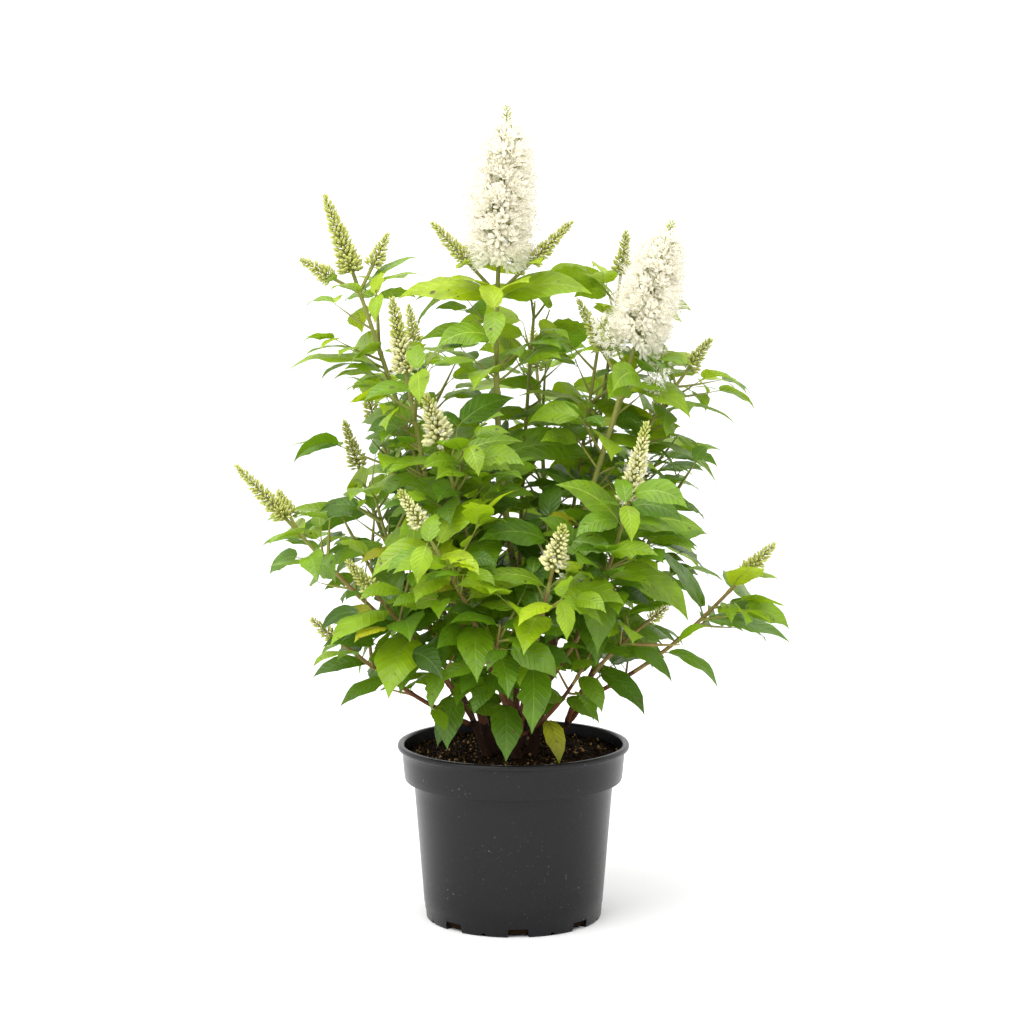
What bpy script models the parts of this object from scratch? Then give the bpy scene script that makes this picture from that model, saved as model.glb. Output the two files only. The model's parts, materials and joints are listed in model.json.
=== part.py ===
"""Potted clethra: a flowering shrub of several canes in a round nursery pot.

Metres, +Z up. The origin is the middle of the pot's flat underside, the
front of the plant looks towards -Y, and bearings are in degrees from +X
towards +Y (180 is the plant's left seen from the front, 270 its front).
"""
import math
import random

import bpy
from mathutils import Vector
from mathutils.bvhtree import BVHTree

UP = Vector((0, 0, 1))
GAP = 0.0003

# Pot, moulded in one piece
POT_HEIGHT = 0.1445
LIP_R = 0.0950
LIP_HEIGHT = 0.0050
COLLAR_TOP_R = 0.0915
COLLAR_FOOT_R = 0.0893
COLLAR_Z = 0.1145
BODY_TOP_R = 0.0819
FOOT_R = 0.0713
WALL = 0.0018
FLOOR = 0.0022
POT_SIDES = 44
NOTCHES = 8
NOTCH_WIDTH = 0.0165
NOTCH_HEIGHT = 0.0070
NOTCH_DEPTH = 0.0080
FIRST_NOTCH = 273

# Compost
SOIL_MID_Z = 0.1362
SOIL_EDGE_Z = 0.1350
SOIL_MID_R = 0.034

# Wood
CANE_FOOT_R = 0.0050
CANE_TIP_R = 0.0030
FLARE = 1.35
FLARE_LENGTH = 0.010
BOUGH_FOOT_R = 0.0023
BOUGH_TIP_R = 0.0018
SPRIG_FOOT_R = 0.0018
SPRIG_TIP_R = 0.0013
TWIG_R = 0.0015

# Leaves, as parts of their own length unless a unit is given
LEAF_LENGTH = 0.083
LEAF_WIDTH = 0.46
LEAF_THICK = 0.0011
LEAF_FOLD = math.radians(20)
STALK_TO = 0.10
STALK_R = 0.0006
WIDE_AT = 0.42
NARROW_AT = 0.75
NARROW_WIDTH = 0.66
SMALL_LEAF = 0.74
TILT_OUT = math.radians(38)
CLEARANCE = 0.0009
CLEAR_FROM = 0.0052
PAIR_STEP = 0.0022
TRIES = 9

SEED = 11


def polar(bearing, reach, height=0.0):
    """A point given by its bearing, its distance from the axis and its height."""
    b = math.radians(bearing)
    return Vector((reach * math.cos(b), reach * math.sin(b), height))


# Each cane: the bearing and reach of its foot, then its tip, and the girth
CANES = {
    "cane_centre": (100, 0.003, (0.003, -0.003, 0.270), 1.0),
    "cane_right": (338, 0.016, (0.038, -0.014, 0.268), 0.85),
    "cane_left": (188, 0.017, (-0.052, -0.004, 0.290), 0.8),
    "cane_low_left": (216, 0.027, (-0.052, -0.024, 0.210), 0.62),
    "cane_low_right": (350, 0.031, (0.064, -0.025, 0.188), 0.62),
    "cane_front": (276, 0.022, (0.011, -0.064, 0.204), 0.72),
    "cane_back": (75, 0.024, (0.022, 0.060, 0.255), 0.75),
    "cane_back_left": (132, 0.024, (-0.042, 0.050, 0.245), 0.75),
}

# Each bough: the cane it leaves, how far up that cane, and its tip
BOUGHS = {
    "bough_centre_back": ("cane_centre", 0.66, (0.006, 0.036, 0.318)),
    "bough_centre_front": ("cane_centre", 0.48, (-0.030, -0.048, 0.292)),
    "bough_right_upper": ("cane_right", 0.72, (0.074, 0.010, 0.322)),
    "bough_right_back": ("cane_right", 0.52, (0.056, 0.046, 0.318)),
    "bough_left_front": ("cane_left", 0.74, (-0.066, -0.034, 0.345)),
    "bough_left_back": ("cane_left", 0.58, (-0.078, 0.030, 0.300)),
    "bough_mid_left": ("cane_low_left", 0.62, (-0.062, -0.056, 0.216)),
    "bough_low_left": ("cane_low_left", 0.36, (-0.066, -0.038, 0.182)),
    "bough_low_right": ("cane_low_right", 0.50, (0.060, -0.052, 0.205)),
    "bough_right_mid": ("cane_low_right", 0.66, (0.078, 0.010, 0.232)),
    "bough_front_left": ("cane_front", 0.56, (-0.022, -0.076, 0.232)),
    "bough_front_right": ("cane_front", 0.66, (0.050, -0.066, 0.240)),
    "bough_back_right": ("cane_back", 0.60, (0.070, 0.068, 0.262)),
    "bough_back_low": ("cane_back", 0.36, (0.010, 0.082, 0.200)),
    "bough_back_left": ("cane_back_left", 0.56, (-0.084, 0.066, 0.252)),
}


class Sprig:
    """One leafy shoot: what carries it, where its tip is, and how it is dressed."""

    def __init__(self, on, tip, pairs=5, leaf=1.0, flower="bud", spike=0.045, width=0.017,
                 side_spikes=0, twigs=1, turn=0, at=1.0, age="mid", droop=44, neck=0.020):
        self.on = on
        self.tip = Vector(tip)
        self.pairs = pairs
        self.leaf = leaf
        self.flower = flower
        self.spike = spike if flower else 0.0
        self.width = width
        self.side_spikes = side_spikes
        self.twigs = twigs
        self.turn = turn
        self.at = at
        self.age = age
        self.droop = droop
        self.neck = neck if flower else 0.006


SPRIGS = {
    "centre_bloom": Sprig("cane_centre", (-0.005, -0.005, 0.658), pairs=4, leaf=1.08,
                          flower="bloom", spike=0.128, width=0.044, side_spikes=2, neck=0.023),
    "right_bloom": Sprig("cane_right", (0.126, -0.020, 0.567), pairs=4, leaf=1.0,
                         flower="bloom", spike=0.106, width=0.048, side_spikes=1, turn=165,
                         neck=0.034),
    "tall_left": Sprig("cane_left", (-0.150, 0.000, 0.586), pairs=5, leaf=0.9,
                       spike=0.062, width=0.022, side_spikes=2, turn=10, age="young"),
    "cream_left": Sprig("bough_left_front", (-0.095, -0.045, 0.505), pairs=4,
                        spike=0.058, width=0.022, turn=20),
    "short_white": Sprig("bough_centre_front", (-0.067, -0.075, 0.430), pairs=4, leaf=0.9,
                         spike=0.036, width=0.026, turn=30),
    "front_left": Sprig("bough_front_left", (-0.086, -0.115, 0.362), pairs=4, leaf=0.92,
                        spike=0.032, width=0.018, turn=10, age="young"),
    "far_left": Sprig("cane_low_left", (-0.220, -0.030, 0.373), pairs=5, leaf=0.85,
                      spike=0.056, width=0.018, side_spikes=1, turn=80, age="young"),
    "low_left": Sprig("bough_low_left", (-0.160, -0.045, 0.252), pairs=4, leaf=0.85,
                      spike=0.026, width=0.016, turn=75),
    "mid_left": Sprig("bough_mid_left", (-0.128, -0.090, 0.304), pairs=4,
                      spike=0.032, width=0.018, turn=60),
    "front_centre": Sprig("cane_front", (0.037, -0.135, 0.336), pairs=4, leaf=0.92,
                          spike=0.036, width=0.024, turn=5, age="young"),
    "front_right": Sprig("bough_front_right", (0.103, -0.078, 0.410), pairs=5,
                         spike=0.062, width=0.022, turn=0),
    "far_right": Sprig("cane_low_right", (0.208, -0.022, 0.309), pairs=5, leaf=1.08,
                       spike=0.030, width=0.018, side_spikes=1, twigs=0, turn=72,
                       age="young", droop=34),
    "upper_right": Sprig("bough_right_upper", (0.160, 0.030, 0.471), pairs=5,
                         spike=0.030, width=0.018, turn=15),
    "back_right": Sprig("bough_right_back", (0.093, 0.062, 0.558), pairs=4, leaf=0.8,
                        spike=0.034, width=0.018, turn=160),
    "right_inner": Sprig("cane_right", (0.072, 0.024, 0.486), at=0.90, pairs=4, leaf=0.95,
                         flower=None, turn=70, age="deep"),
    "back_centre": Sprig("bough_centre_back", (0.018, 0.060, 0.505), pairs=4, leaf=0.8,
                         flower=None, turn=20, age="young"),
    "centre_inner": Sprig("cane_centre", (-0.030, 0.040, 0.425), at=0.84, pairs=4,
                          spike=0.026, width=0.016, turn=40, age="deep"),
    "inner_left": Sprig("bough_left_back", (-0.122, 0.045, 0.428), pairs=4,
                        spike=0.026, width=0.018, turn=70),
    "low_right": Sprig("bough_low_right", (0.120, -0.078, 0.268), pairs=4, leaf=0.85,
                       spike=0.018, width=0.014, turn=60),
    "right_middle": Sprig("bough_right_mid", (0.138, 0.044, 0.362), pairs=5, leaf=0.95,
                          flower=None, turn=10, age="deep"),
    "skirt_left": Sprig("cane_low_left", (-0.060, -0.088, 0.226), at=0.42, pairs=4, leaf=0.68,
                        flower=None, turn=75, age="deep", twigs=0, droop=56),
    "skirt_right": Sprig("cane_front", (0.062, -0.084, 0.236), at=0.30, pairs=4, leaf=0.64,
                         flower=None, turn=20, age="deep", twigs=0, droop=56),
    "skirt_front": Sprig("cane_front", (-0.010, -0.118, 0.262), at=0.52, pairs=4, leaf=0.76,
                         flower=None, turn=10, age="mid", twigs=0, droop=56),
    "front_inner": Sprig("cane_centre", (0.030, -0.078, 0.322), at=0.55, pairs=4,
                         flower=None, turn=15, age="deep"),
    "left_inner": Sprig("cane_left", (-0.112, -0.020, 0.352), at=0.50, pairs=4,
                        flower=None, turn=80, age="deep"),
}

# The back of the crown is filled by shoots set out in a fan
FAN = ("cane_back", "bough_back_right", "cane_back_left", "bough_back_left")
FAN_BEARING = (84, 40, 124, 152)
FAN_REACH = 0.160
FAN_HEIGHT = (0.475, 0.425, 0.495, 0.400)
for place, (carrier, bearing, height) in enumerate(zip(FAN, FAN_BEARING, FAN_HEIGHT)):
    SPRIGS["back_fan_%d" % (place + 1)] = Sprig(
        carrier, polar(bearing, FAN_REACH, height), pairs=5, spike=0.040, width=0.018,
        turn=30 * place, age=("mid", "deep")[place % 2])
UNDER = ("bough_back_low", "cane_back", "cane_back_left", "cane_back")
UNDER_AT = (1.0, 0.46, 0.40, 0.78)
UNDER_BEARING = (100, 42, 158, 66)
for place, (carrier, at, bearing) in enumerate(zip(UNDER, UNDER_AT, UNDER_BEARING)):
    SPRIGS["back_under_%d" % (place + 1)] = Sprig(
        carrier, polar(bearing, 0.155, 0.285 + 0.02 * place), at=at, pairs=4, leaf=0.95,
        flower=None, turn=25 * place, age="deep")


class Stem:
    """A smooth curve with a taper, measured by distance from its foot."""

    STEPS = 24

    def __init__(self, foot, heading, tip, radius, tip_radius, cut=None, bend=0.36):
        knee = foot + heading * (tip - foot).length * bend
        self.points = []
        self.tangents = []
        for i in range(self.STEPS + 1):
            t = i / self.STEPS
            self.points.append(foot * (1 - t) ** 2 + knee * 2 * t * (1 - t) + tip * t * t)
            self.tangents.append(((knee - foot) * (1 - t) + (tip - knee) * t).normalized())
        self.reach = [0.0]
        for a, b in zip(self.points, self.points[1:]):
            self.reach.append(self.reach[-1] + (b - a).length)
        self.length = self.reach[-1]
        self.radius = radius
        self.tip_radius = tip_radius
        self.cut = cut
        level = Vector((tip.x - foot.x, tip.y - foot.y, 0))
        self.across = UP.cross(level).normalized() if level.length > 0.004 else Vector((0, 1, 0))

    def place(self, s):
        """The point and the direction at distance s."""
        s = min(max(s, 0.0), self.length)
        i = 0
        while i < self.STEPS - 1 and self.reach[i + 1] < s:
            i += 1
        t = (s - self.reach[i]) / (self.reach[i + 1] - self.reach[i])
        point = self.points[i].lerp(self.points[i + 1], t)
        return point, self.tangents[i].lerp(self.tangents[i + 1], t).normalized()

    def girth(self, s):
        """The radius at distance s."""
        return self.radius + (self.tip_radius - self.radius) * s / self.length


def tube(stem, sides, rings, extra=0.0, start=0.0, end=None, flare=False):
    """Vertices and faces of a tapering limb along a stem."""
    end = stem.length if end is None else end
    verts, faces = [], []
    stations = [start + (end - start) * i / rings for i in range(rings + 1)]
    if flare:
        stations.insert(1, start + FLARE_LENGTH)
    for s in stations:
        point, along = stem.place(s)
        radius = stem.girth(s) + extra
        if flare and s == start:
            radius *= FLARE
        u = (stem.across - along * stem.across.dot(along)).normalized()
        v = along.cross(u)
        for k in range(sides):
            a = 2 * math.pi * k / sides
            corner = (u * math.cos(a) + v * math.sin(a)) * radius
            if s == start and stem.cut is not None and not extra:
                corner -= along * corner.dot(stem.cut) / along.dot(stem.cut)
            verts.append(point + corner)
    for r in range(len(stations) - 1):
        for k in range(sides):
            a, b = r * sides + k, r * sides + (k + 1) % sides
            faces.append((a, b, b + sides, a + sides))
    faces.append(tuple(reversed(range(sides))))
    faces.append(tuple(range(len(verts) - sides, len(verts))))
    return verts, faces


def plume(stem, start, end, width, sides, profile, extra=0.0):
    """A flower spike: a closed lumpy cone round the end of a stem."""
    verts, faces = [stem.place(start)[0]], []
    for i, (t, part) in enumerate(profile):
        point, along = stem.place(start + (end - start) * t)
        u = (stem.across - along * stem.across.dot(along)).normalized()
        v = along.cross(u)
        for k in range(sides):
            a = 2 * math.pi * (k + 0.5 * (i % 2)) / sides
            verts.append(point + (u * math.cos(a) + v * math.sin(a)) * (width / 2 * part + extra))
    verts.append(stem.place(end)[0])
    last = len(verts) - 1
    for k in range(sides):
        nxt = (k + 1) % sides
        faces.append((0, 1 + nxt, 1 + k))
        faces.append((last, last - sides + k, last - sides + nxt))
    for r in range(len(profile) - 1):
        for k in range(sides):
            nxt = (k + 1) % sides
            a, b = 1 + r * sides + k, 1 + r * sides + nxt
            c, d = a + sides, b + sides
            if r % 2 == 0:
                faces.append((a, b, c))
                faces.append((b, d, c))
            else:
                faces.append((a, b, d))
                faces.append((a, d, c))
    return verts, faces


BUD_PROFILE = ((0.10, 0.78), (0.30, 1.0), (0.58, 0.72), (0.82, 0.48))
BLOOM_PROFILE = ((0.04, 0.62), (0.14, 0.95), (0.27, 1.0), (0.42, 0.92), (0.56, 0.92),
                 (0.70, 0.80), (0.82, 0.66), (0.92, 0.42), (0.97, 0.16))
SMALL_PROFILE = ((0.15, 0.8), (0.45, 1.0), (0.75, 0.6))


class Leaf:
    """One arching leaf: it leaves its stem at a lift and bends down by its droop."""

    def __init__(self, root, bearing, lift, droop, length, roll, small=False):
        self.root = root
        self.small = small
        self.out = Vector((math.cos(bearing), math.sin(bearing), 0))
        self.side = Vector((-math.sin(bearing), math.cos(bearing), 0))
        self.lift = lift
        self.droop = droop
        self.length = length
        self.roll = roll

    def station(self, t):
        """The midrib point, the sideways and the upward direction at part t of the length."""
        angle = self.lift - self.droop * t
        scale = self.length / self.droop
        point = (self.root + self.out * scale * (math.sin(self.lift) - math.sin(angle))
                 + UP * scale * (math.cos(angle) - math.cos(self.lift)))
        normal = UP * math.cos(angle) - self.out * math.sin(angle)
        side = self.side * math.cos(self.roll) + normal * math.sin(self.roll)
        return point, side, normal * math.cos(self.roll) - self.side * math.sin(self.roll)

    def shell(self, start=0.0, extra=0.0):
        """Vertices and faces of the leaf as a thin closed solid, stalk first."""
        half = self.length * LEAF_WIDTH / 2
        thick = LEAF_THICK / 2 + extra
        stalk = STALK_R + extra
        side, normal = self.station(STALK_TO / 2)[1:]
        verts = []
        for t in (start, max(STALK_TO, start + 0.02)):
            point = self.station(t)[0]
            verts += [point + side * stalk + normal * thick, point - side * stalk + normal * thick,
                      point - normal * thick]
        for t, part in ((WIDE_AT, 1.0), (NARROW_AT, NARROW_WIDTH))[:1 if self.small else 2]:
            point, side, normal = self.station(t)
            reach = half * part + extra
            rise = normal * reach * math.sin(LEAF_FOLD)
            verts.append(point + side * reach * math.cos(LEAF_FOLD) + rise)
            if t == WIDE_AT:
                verts.append(point + normal * thick)
            verts.append(point - side * reach * math.cos(LEAF_FOLD) + rise)
            verts.append(point - normal * thick)
        verts.append(self.station(1.0 + 0.01 * (extra > 0))[0])
        return verts, SMALL_FACES if self.small else LEAF_FACES


# Stalk prism, then the blade: a folded section, a flat one and the tip
STALK_FACES = [
    (0, 2, 1), (0, 1, 4, 3), (1, 2, 5, 4), (2, 0, 3, 5),
    (3, 4, 7), (3, 7, 6), (4, 8, 7), (3, 6, 9), (3, 9, 5), (5, 9, 8), (5, 8, 4),
]
SMALL_FACES = STALK_FACES + [(6, 7, 10), (7, 8, 10), (8, 9, 10), (9, 6, 10)]
LEAF_FACES = STALK_FACES + [
    (6, 7, 10), (7, 11, 10), (7, 8, 11), (6, 10, 12), (6, 12, 9), (9, 12, 11), (9, 11, 8),
    (10, 11, 13), (11, 12, 13), (12, 10, 13),
]


def trees(shells):
    """Search trees of some shells, for finding what touches what."""
    return [BVHTree.FromPolygons([tuple(v) for v in verts], faces) for verts, faces in shells]


def middle(verts):
    """The middle of a shell and the radius of the ball around it."""
    centre = sum((Vector(v) for v in verts), Vector()) / len(verts)
    return centre, max((Vector(v) - centre).length for v in verts)


class Space:
    """What is taken so far, so that a new leaf is only set where there is room."""

    def __init__(self):
        self.taken = []

    def add(self, shell):
        """Marks a shell's place as taken."""
        self.taken.append((*middle(shell[0]), trees([shell])[0]))

    def free(self, shell):
        """Whether a shell would touch nothing."""
        centre, radius = middle(shell[0])
        tree = None
        for other, reach, taken in self.taken:
            if (other - centre).length > reach + radius:
                continue
            tree = tree or trees([shell])[0]
            if tree.overlap(taken):
                return False
        return True


def revolve(profile, sides):
    """Vertices and faces of a closed profile turned round the upright axis."""
    verts, faces, rings = [], [], []
    for r, z in profile:
        if r < 1e-6:
            rings.append([len(verts)] * sides)
            verts.append(Vector((0, 0, z)))
        else:
            rings.append([len(verts) + k for k in range(sides)])
            verts += [polar(360 * k / sides, r, z) for k in range(sides)]
    pairs = list(zip(rings, rings[1:]))
    if profile[0][0] > 1e-6:
        pairs.append((rings[-1], rings[0]))
    for low, high in pairs:
        for k in range(sides):
            n = (k + 1) % sides
            face = [low[k], low[n], high[n], high[k]]
            face = [v for i, v in enumerate(face) if v != face[i - 1]]
            if len(face) > 2:
                faces.append(tuple(face))
    return verts, faces


MATERIALS = {
    "plastic": ((0.040, 0.040, 0.046), 0.50),
    "compost": ((0.035, 0.022, 0.015), 0.95),
    "bark": ((0.130, 0.055, 0.032), 0.80),
    "leaf_young": ((0.170, 0.330, 0.030), 0.50),
    "leaf_mid": ((0.075, 0.210, 0.030), 0.50),
    "leaf_deep": ((0.030, 0.110, 0.022), 0.50),
}


def material(name):
    """The named plain material, made the first time it is asked for."""
    made = bpy.data.materials.get(name)
    if made is None:
        colour, rough = MATERIALS[name]
        made = bpy.data.materials.new(name)
        made.use_nodes = True
        shader = made.node_tree.nodes["Principled BSDF"]
        shader.inputs["Base Color"].default_value = (*colour, 1.0)
        shader.inputs["Roughness"].default_value = rough
    return made


def solid(name, shell, slot=None, collection=None):
    """An object made from a shell."""
    mesh = bpy.data.meshes.new(name)
    mesh.from_pydata([tuple(v) for v in shell[0]], [], shell[1])
    mesh.update()
    made = bpy.data.objects.new(name, mesh)
    (collection or bpy.context.scene.collection).objects.link(made)
    if slot:
        mesh.materials.append(material(slot))
    return made


def combine(base, others, operation):
    """Joins other objects to a base, or cuts them from it, and removes them."""
    tools = bpy.data.collections.new("tools")
    bpy.context.scene.collection.children.link(tools)
    for other in others:
        for home in list(other.users_collection):
            home.objects.unlink(other)
        tools.objects.link(other)
    step = base.modifiers.new("combine", "BOOLEAN")
    step.operation = operation
    step.solver = "EXACT"
    step.operand_type = "COLLECTION"
    step.collection = tools
    bpy.context.view_layer.update()
    graph = bpy.context.evaluated_depsgraph_get()
    result = bpy.data.meshes.new_from_object(base.evaluated_get(graph))
    base.modifiers.clear()
    old = base.data
    base.data = result
    result.name = base.name
    bpy.data.meshes.remove(old)
    for other in list(tools.objects):
        bpy.data.objects.remove(other, do_unlink=True)
    bpy.data.collections.remove(tools)


# Empty scene
for old in list(bpy.data.objects):
    bpy.data.objects.remove(old, do_unlink=True)

# Pot with its collar, rolled lip and drainage notches
lip_z = POT_HEIGHT - LIP_HEIGHT
pot_profile = [
    (0, 0), (FOOT_R, 0), (BODY_TOP_R, COLLAR_Z), (COLLAR_FOOT_R, COLLAR_Z),
    (COLLAR_TOP_R, lip_z), (LIP_R, lip_z + 0.0008), (LIP_R, POT_HEIGHT - 0.0012),
    (LIP_R - 0.0012, POT_HEIGHT), (COLLAR_TOP_R - WALL, POT_HEIGHT),
    (COLLAR_FOOT_R - WALL, COLLAR_Z + WALL), (BODY_TOP_R - WALL, COLLAR_Z + WALL),
    (FOOT_R - WALL, FLOOR), (0, FLOOR),
]
pot_shell = revolve(pot_profile, POT_SIDES)
pot = solid("pot", pot_shell, "plastic")
cutters = []
for i in range(NOTCHES):
    bearing = FIRST_NOTCH + 360 / NOTCHES * i
    outer = FOOT_R + 0.004
    inner = FOOT_R - NOTCH_DEPTH
    ahead, beside = polar(bearing, 1.0), polar(bearing + 90, 1.0)
    corners = [ahead * r + beside * w + UP * z for r in (inner, outer)
               for w in (-NOTCH_WIDTH / 2, NOTCH_WIDTH / 2) for z in (-0.002, NOTCH_HEIGHT)]
    faces = [(0, 1, 3, 2), (4, 6, 7, 5), (0, 4, 5, 1), (2, 3, 7, 6), (0, 2, 6, 4), (1, 5, 7, 3)]
    cutters.append(solid("notch", (corners, faces)))
combine(pot, cutters, "DIFFERENCE")

# Compost that fills the pot
body_in = BODY_TOP_R - WALL - GAP
collar_in = COLLAR_FOOT_R - WALL - GAP
rise = (SOIL_EDGE_Z - COLLAR_Z) / (POT_HEIGHT - COLLAR_Z)
soil_profile = [
    (0, FLOOR + GAP), (FOOT_R - WALL - 2 * GAP, FLOOR + GAP), (body_in - GAP, COLLAR_Z - 0.001),
    (body_in - GAP, COLLAR_Z + WALL + GAP), (collar_in, COLLAR_Z + WALL + GAP),
    (collar_in + rise * (COLLAR_TOP_R - COLLAR_FOOT_R) - GAP, SOIL_EDGE_Z),
    (SOIL_MID_R, SOIL_MID_Z), (0, SOIL_MID_Z),
]
soil_shell = revolve(soil_profile, POT_SIDES)
solid("compost", soil_shell, "compost")

# Canes and boughs
space = Space()
space.add(pot_shell)
space.add(soil_shell)
stems = {}


def beside(parent, s, target):
    """A start on a limb's side that faces a target, its heading and its cut."""
    point, along = parent.place(s)
    facing = target - point
    facing = (facing - along * facing.dot(along)).normalized()
    start = point + facing * (parent.girth(s) + GAP)
    return start, (facing * 0.70 + along * 0.70).normalized(), facing


for name, (bearing, reach, tip, girth) in CANES.items():
    foot = polar(bearing, reach, SOIL_MID_Z + GAP)
    lean = Vector((tip[0] - foot.x, tip[1] - foot.y, 0)) * 1.2
    cane = Stem(foot, (UP * 0.12 + lean).normalized(), Vector(tip), CANE_FOOT_R * girth,
                CANE_TIP_R * girth, cut=UP)
    stems[name] = cane
    solid(name, tube(cane, 6, 5, flare=True), "bark")
for name, (parent, at, tip) in BOUGHS.items():
    carrier = stems[parent]
    start, heading, cut = beside(carrier, carrier.length * at, Vector(tip))
    bough = Stem(start, heading, Vector(tip), BOUGH_FOOT_R, BOUGH_TIP_R, cut=cut)
    stems[name] = bough
    solid(name, tube(bough, 5, 3), "bark")
for limb in stems.values():
    space.add(tube(limb, 6, 6, extra=0.0006))

# The stem and the flower spikes of every shoot, then room for the leaves
rng = random.Random(SEED)
shells = {}
leaf_jobs = []
for name, sprig in SPRIGS.items():
    carrier = stems[sprig.on]
    if sprig.at >= 1.0:
        point, heading = carrier.place(carrier.length)
        start, cut = point + heading * GAP, None
        girth = carrier.tip_radius
    else:
        start, heading, cut = beside(carrier, carrier.length * sprig.at, sprig.tip)
        girth = SPRIG_FOOT_R
    stem = Stem(start, heading, sprig.tip, girth, SPRIG_TIP_R, cut=cut)
    stems[name] = stem
    shells[name] = [tube(stem, 3, 5, end=stem.length - 0.4 * sprig.spike - 0.002)]
    top = stem.length - sprig.spike
    if sprig.flower == "bloom":
        shells[name].append(plume(stem, top, stem.length, sprig.width, 8, BLOOM_PROFILE))
        space.add(plume(stem, top, stem.length, sprig.width, 8, BLOOM_PROFILE, extra=0.0006))
    elif sprig.flower == "bud":
        shells[name].append(plume(stem, top, stem.length, sprig.width, 5, BUD_PROFILE))
        space.add(plume(stem, top, stem.length, sprig.width, 5, BUD_PROFILE, extra=0.0006))
    space.add(tube(stem, 6, 7, extra=0.0006))

    first = top - sprig.neck
    step = (first - 0.012) / max(sprig.pairs - 0.5, 1)
    for k in range(sprig.pairs):
        s = first - step * k
        point, along = stem.place(s)
        level = polar(sprig.turn + rng.uniform(-9, 9), 1.0)
        level = (level - along * level.dot(along)).normalized()
        if k % 2:
            level = along.cross(level)
        for which, hand in enumerate((level, -level)):
            seat = s + PAIR_STEP * (which - 0.5)
            lean = math.radians(rng.uniform(24, 40) - 5 * k)
            size = sprig.leaf * (0.90 if k == 0 else 1.0) * rng.uniform(0.90, 1.08)
            leaf_jobs.append((k, name, seat, hand, lean, size))

        twig_ends = []
        if k == 0 and sprig.side_spikes:
            twig_ends = [(level, "bud"), (-level, "bud")][:sprig.side_spikes]
        elif 1 <= k <= sprig.twigs:
            twig_ends = [((level, -level)[k % 2], None)]
        for hand, flower in twig_ends:
            heading = (hand * 0.72 + along * 0.70).normalized()
            length = rng.uniform(0.050, 0.060) * (1.45 if sprig.flower == "bloom" else 1.0)
            end = point + heading * length + UP * 0.006
            twig = Stem(point + along * 0.003, heading, end, TWIG_R, SPRIG_TIP_R)
            if not space.free(tube(twig, 5, 3, extra=0.0009, start=0.007)):
                continue
            shells[name].append(tube(twig, 3, 2))
            space.add(tube(twig, 5, 3, extra=0.0006))
            if flower:
                spike = plume(twig, length * 0.45, length, 0.013, 5, SMALL_PROFILE)
                shells[name].append(spike)
                space.add(plume(twig, length * 0.45, length, 0.013, 5, SMALL_PROFILE, extra=0.0006))
            for n, part in enumerate((0.40,) if flower else (0.55, 0.96)):
                spot, way = twig.place(twig.length * part)
                flat = (UP.cross(way) if n == 0 else UP - way * UP.dot(way)).normalized()
                for which, palm in enumerate((flat, -flat)):
                    seat = (twig, twig.length * part + 0.0016 * (which - 0.5))
                    size = sprig.leaf * (0.36 if flower else 0.62 - 0.12 * n)
                    leaf_jobs.append((k + 0.5 + n, name, seat, palm, math.radians(30), size))

# Leaves, set from the tips down, each turned a little until it has room
skipped = 0
count = 0
for rank, name, seat, hand, lean, size in sorted(leaf_jobs, key=lambda job: job[0]):
    sprig = SPRIGS[name]
    stem, s = seat if isinstance(seat, tuple) else (stems[name], seat)
    root, along = stem.place(s)
    for attempt in range(TRIES):
        swing = math.radians(rng.uniform(-1, 1) * 11 * attempt)
        facing = hand * math.cos(swing) + along.cross(hand) * math.sin(swing)
        way = facing * math.cos(lean) + along * math.sin(lean)
        lift = math.asin(max(-0.9, min(0.9, way.z)))
        droop = math.radians(sprig.droop + rng.uniform(-12, 12) + 6 * rank)
        droop = max(min(droop, lift + math.radians(82)), math.radians(12))
        length = LEAF_LENGTH * size * (1 - 0.045 * attempt)
        leaf = Leaf(root, math.atan2(way.y, way.x), lift, droop, length, 0, size < SMALL_LEAF)
        away = Vector((root.x, root.y, 0)).normalized()
        leaf.roll = -leaf.side.dot(away) * TILT_OUT + math.radians(rng.uniform(-16, 16))
        if space.free(leaf.shell(CLEAR_FROM / length, CLEARANCE)):
            shells[name].append(leaf.shell())
            space.add(leaf.shell())
            count += 1
            break
    else:
        skipped += 1
print("leaves", count, "skipped", skipped)

# Each shoot becomes one solid
for name, parts in shells.items():
    mass = solid(name, parts[0], "leaf_" + SPRIGS[name].age)
    combine(mass, [solid("part", part) for part in parts[1:]], "UNION")
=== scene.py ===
# %% [markdown]
# # A potted clethra
# A summer-flowering shrub of eight canes in its nursery pot, about 66 cm high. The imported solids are
# loaded first, as a frame that nothing moves. Every solid is then replaced by finer work: moulded
# plastic, crumbly compost, bark, leaves with their ribs, buds, and open blossom.

import json
import math
import random

import bmesh
import bpy
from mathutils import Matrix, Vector, noise
from mathutils.bvhtree import BVHTree

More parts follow.
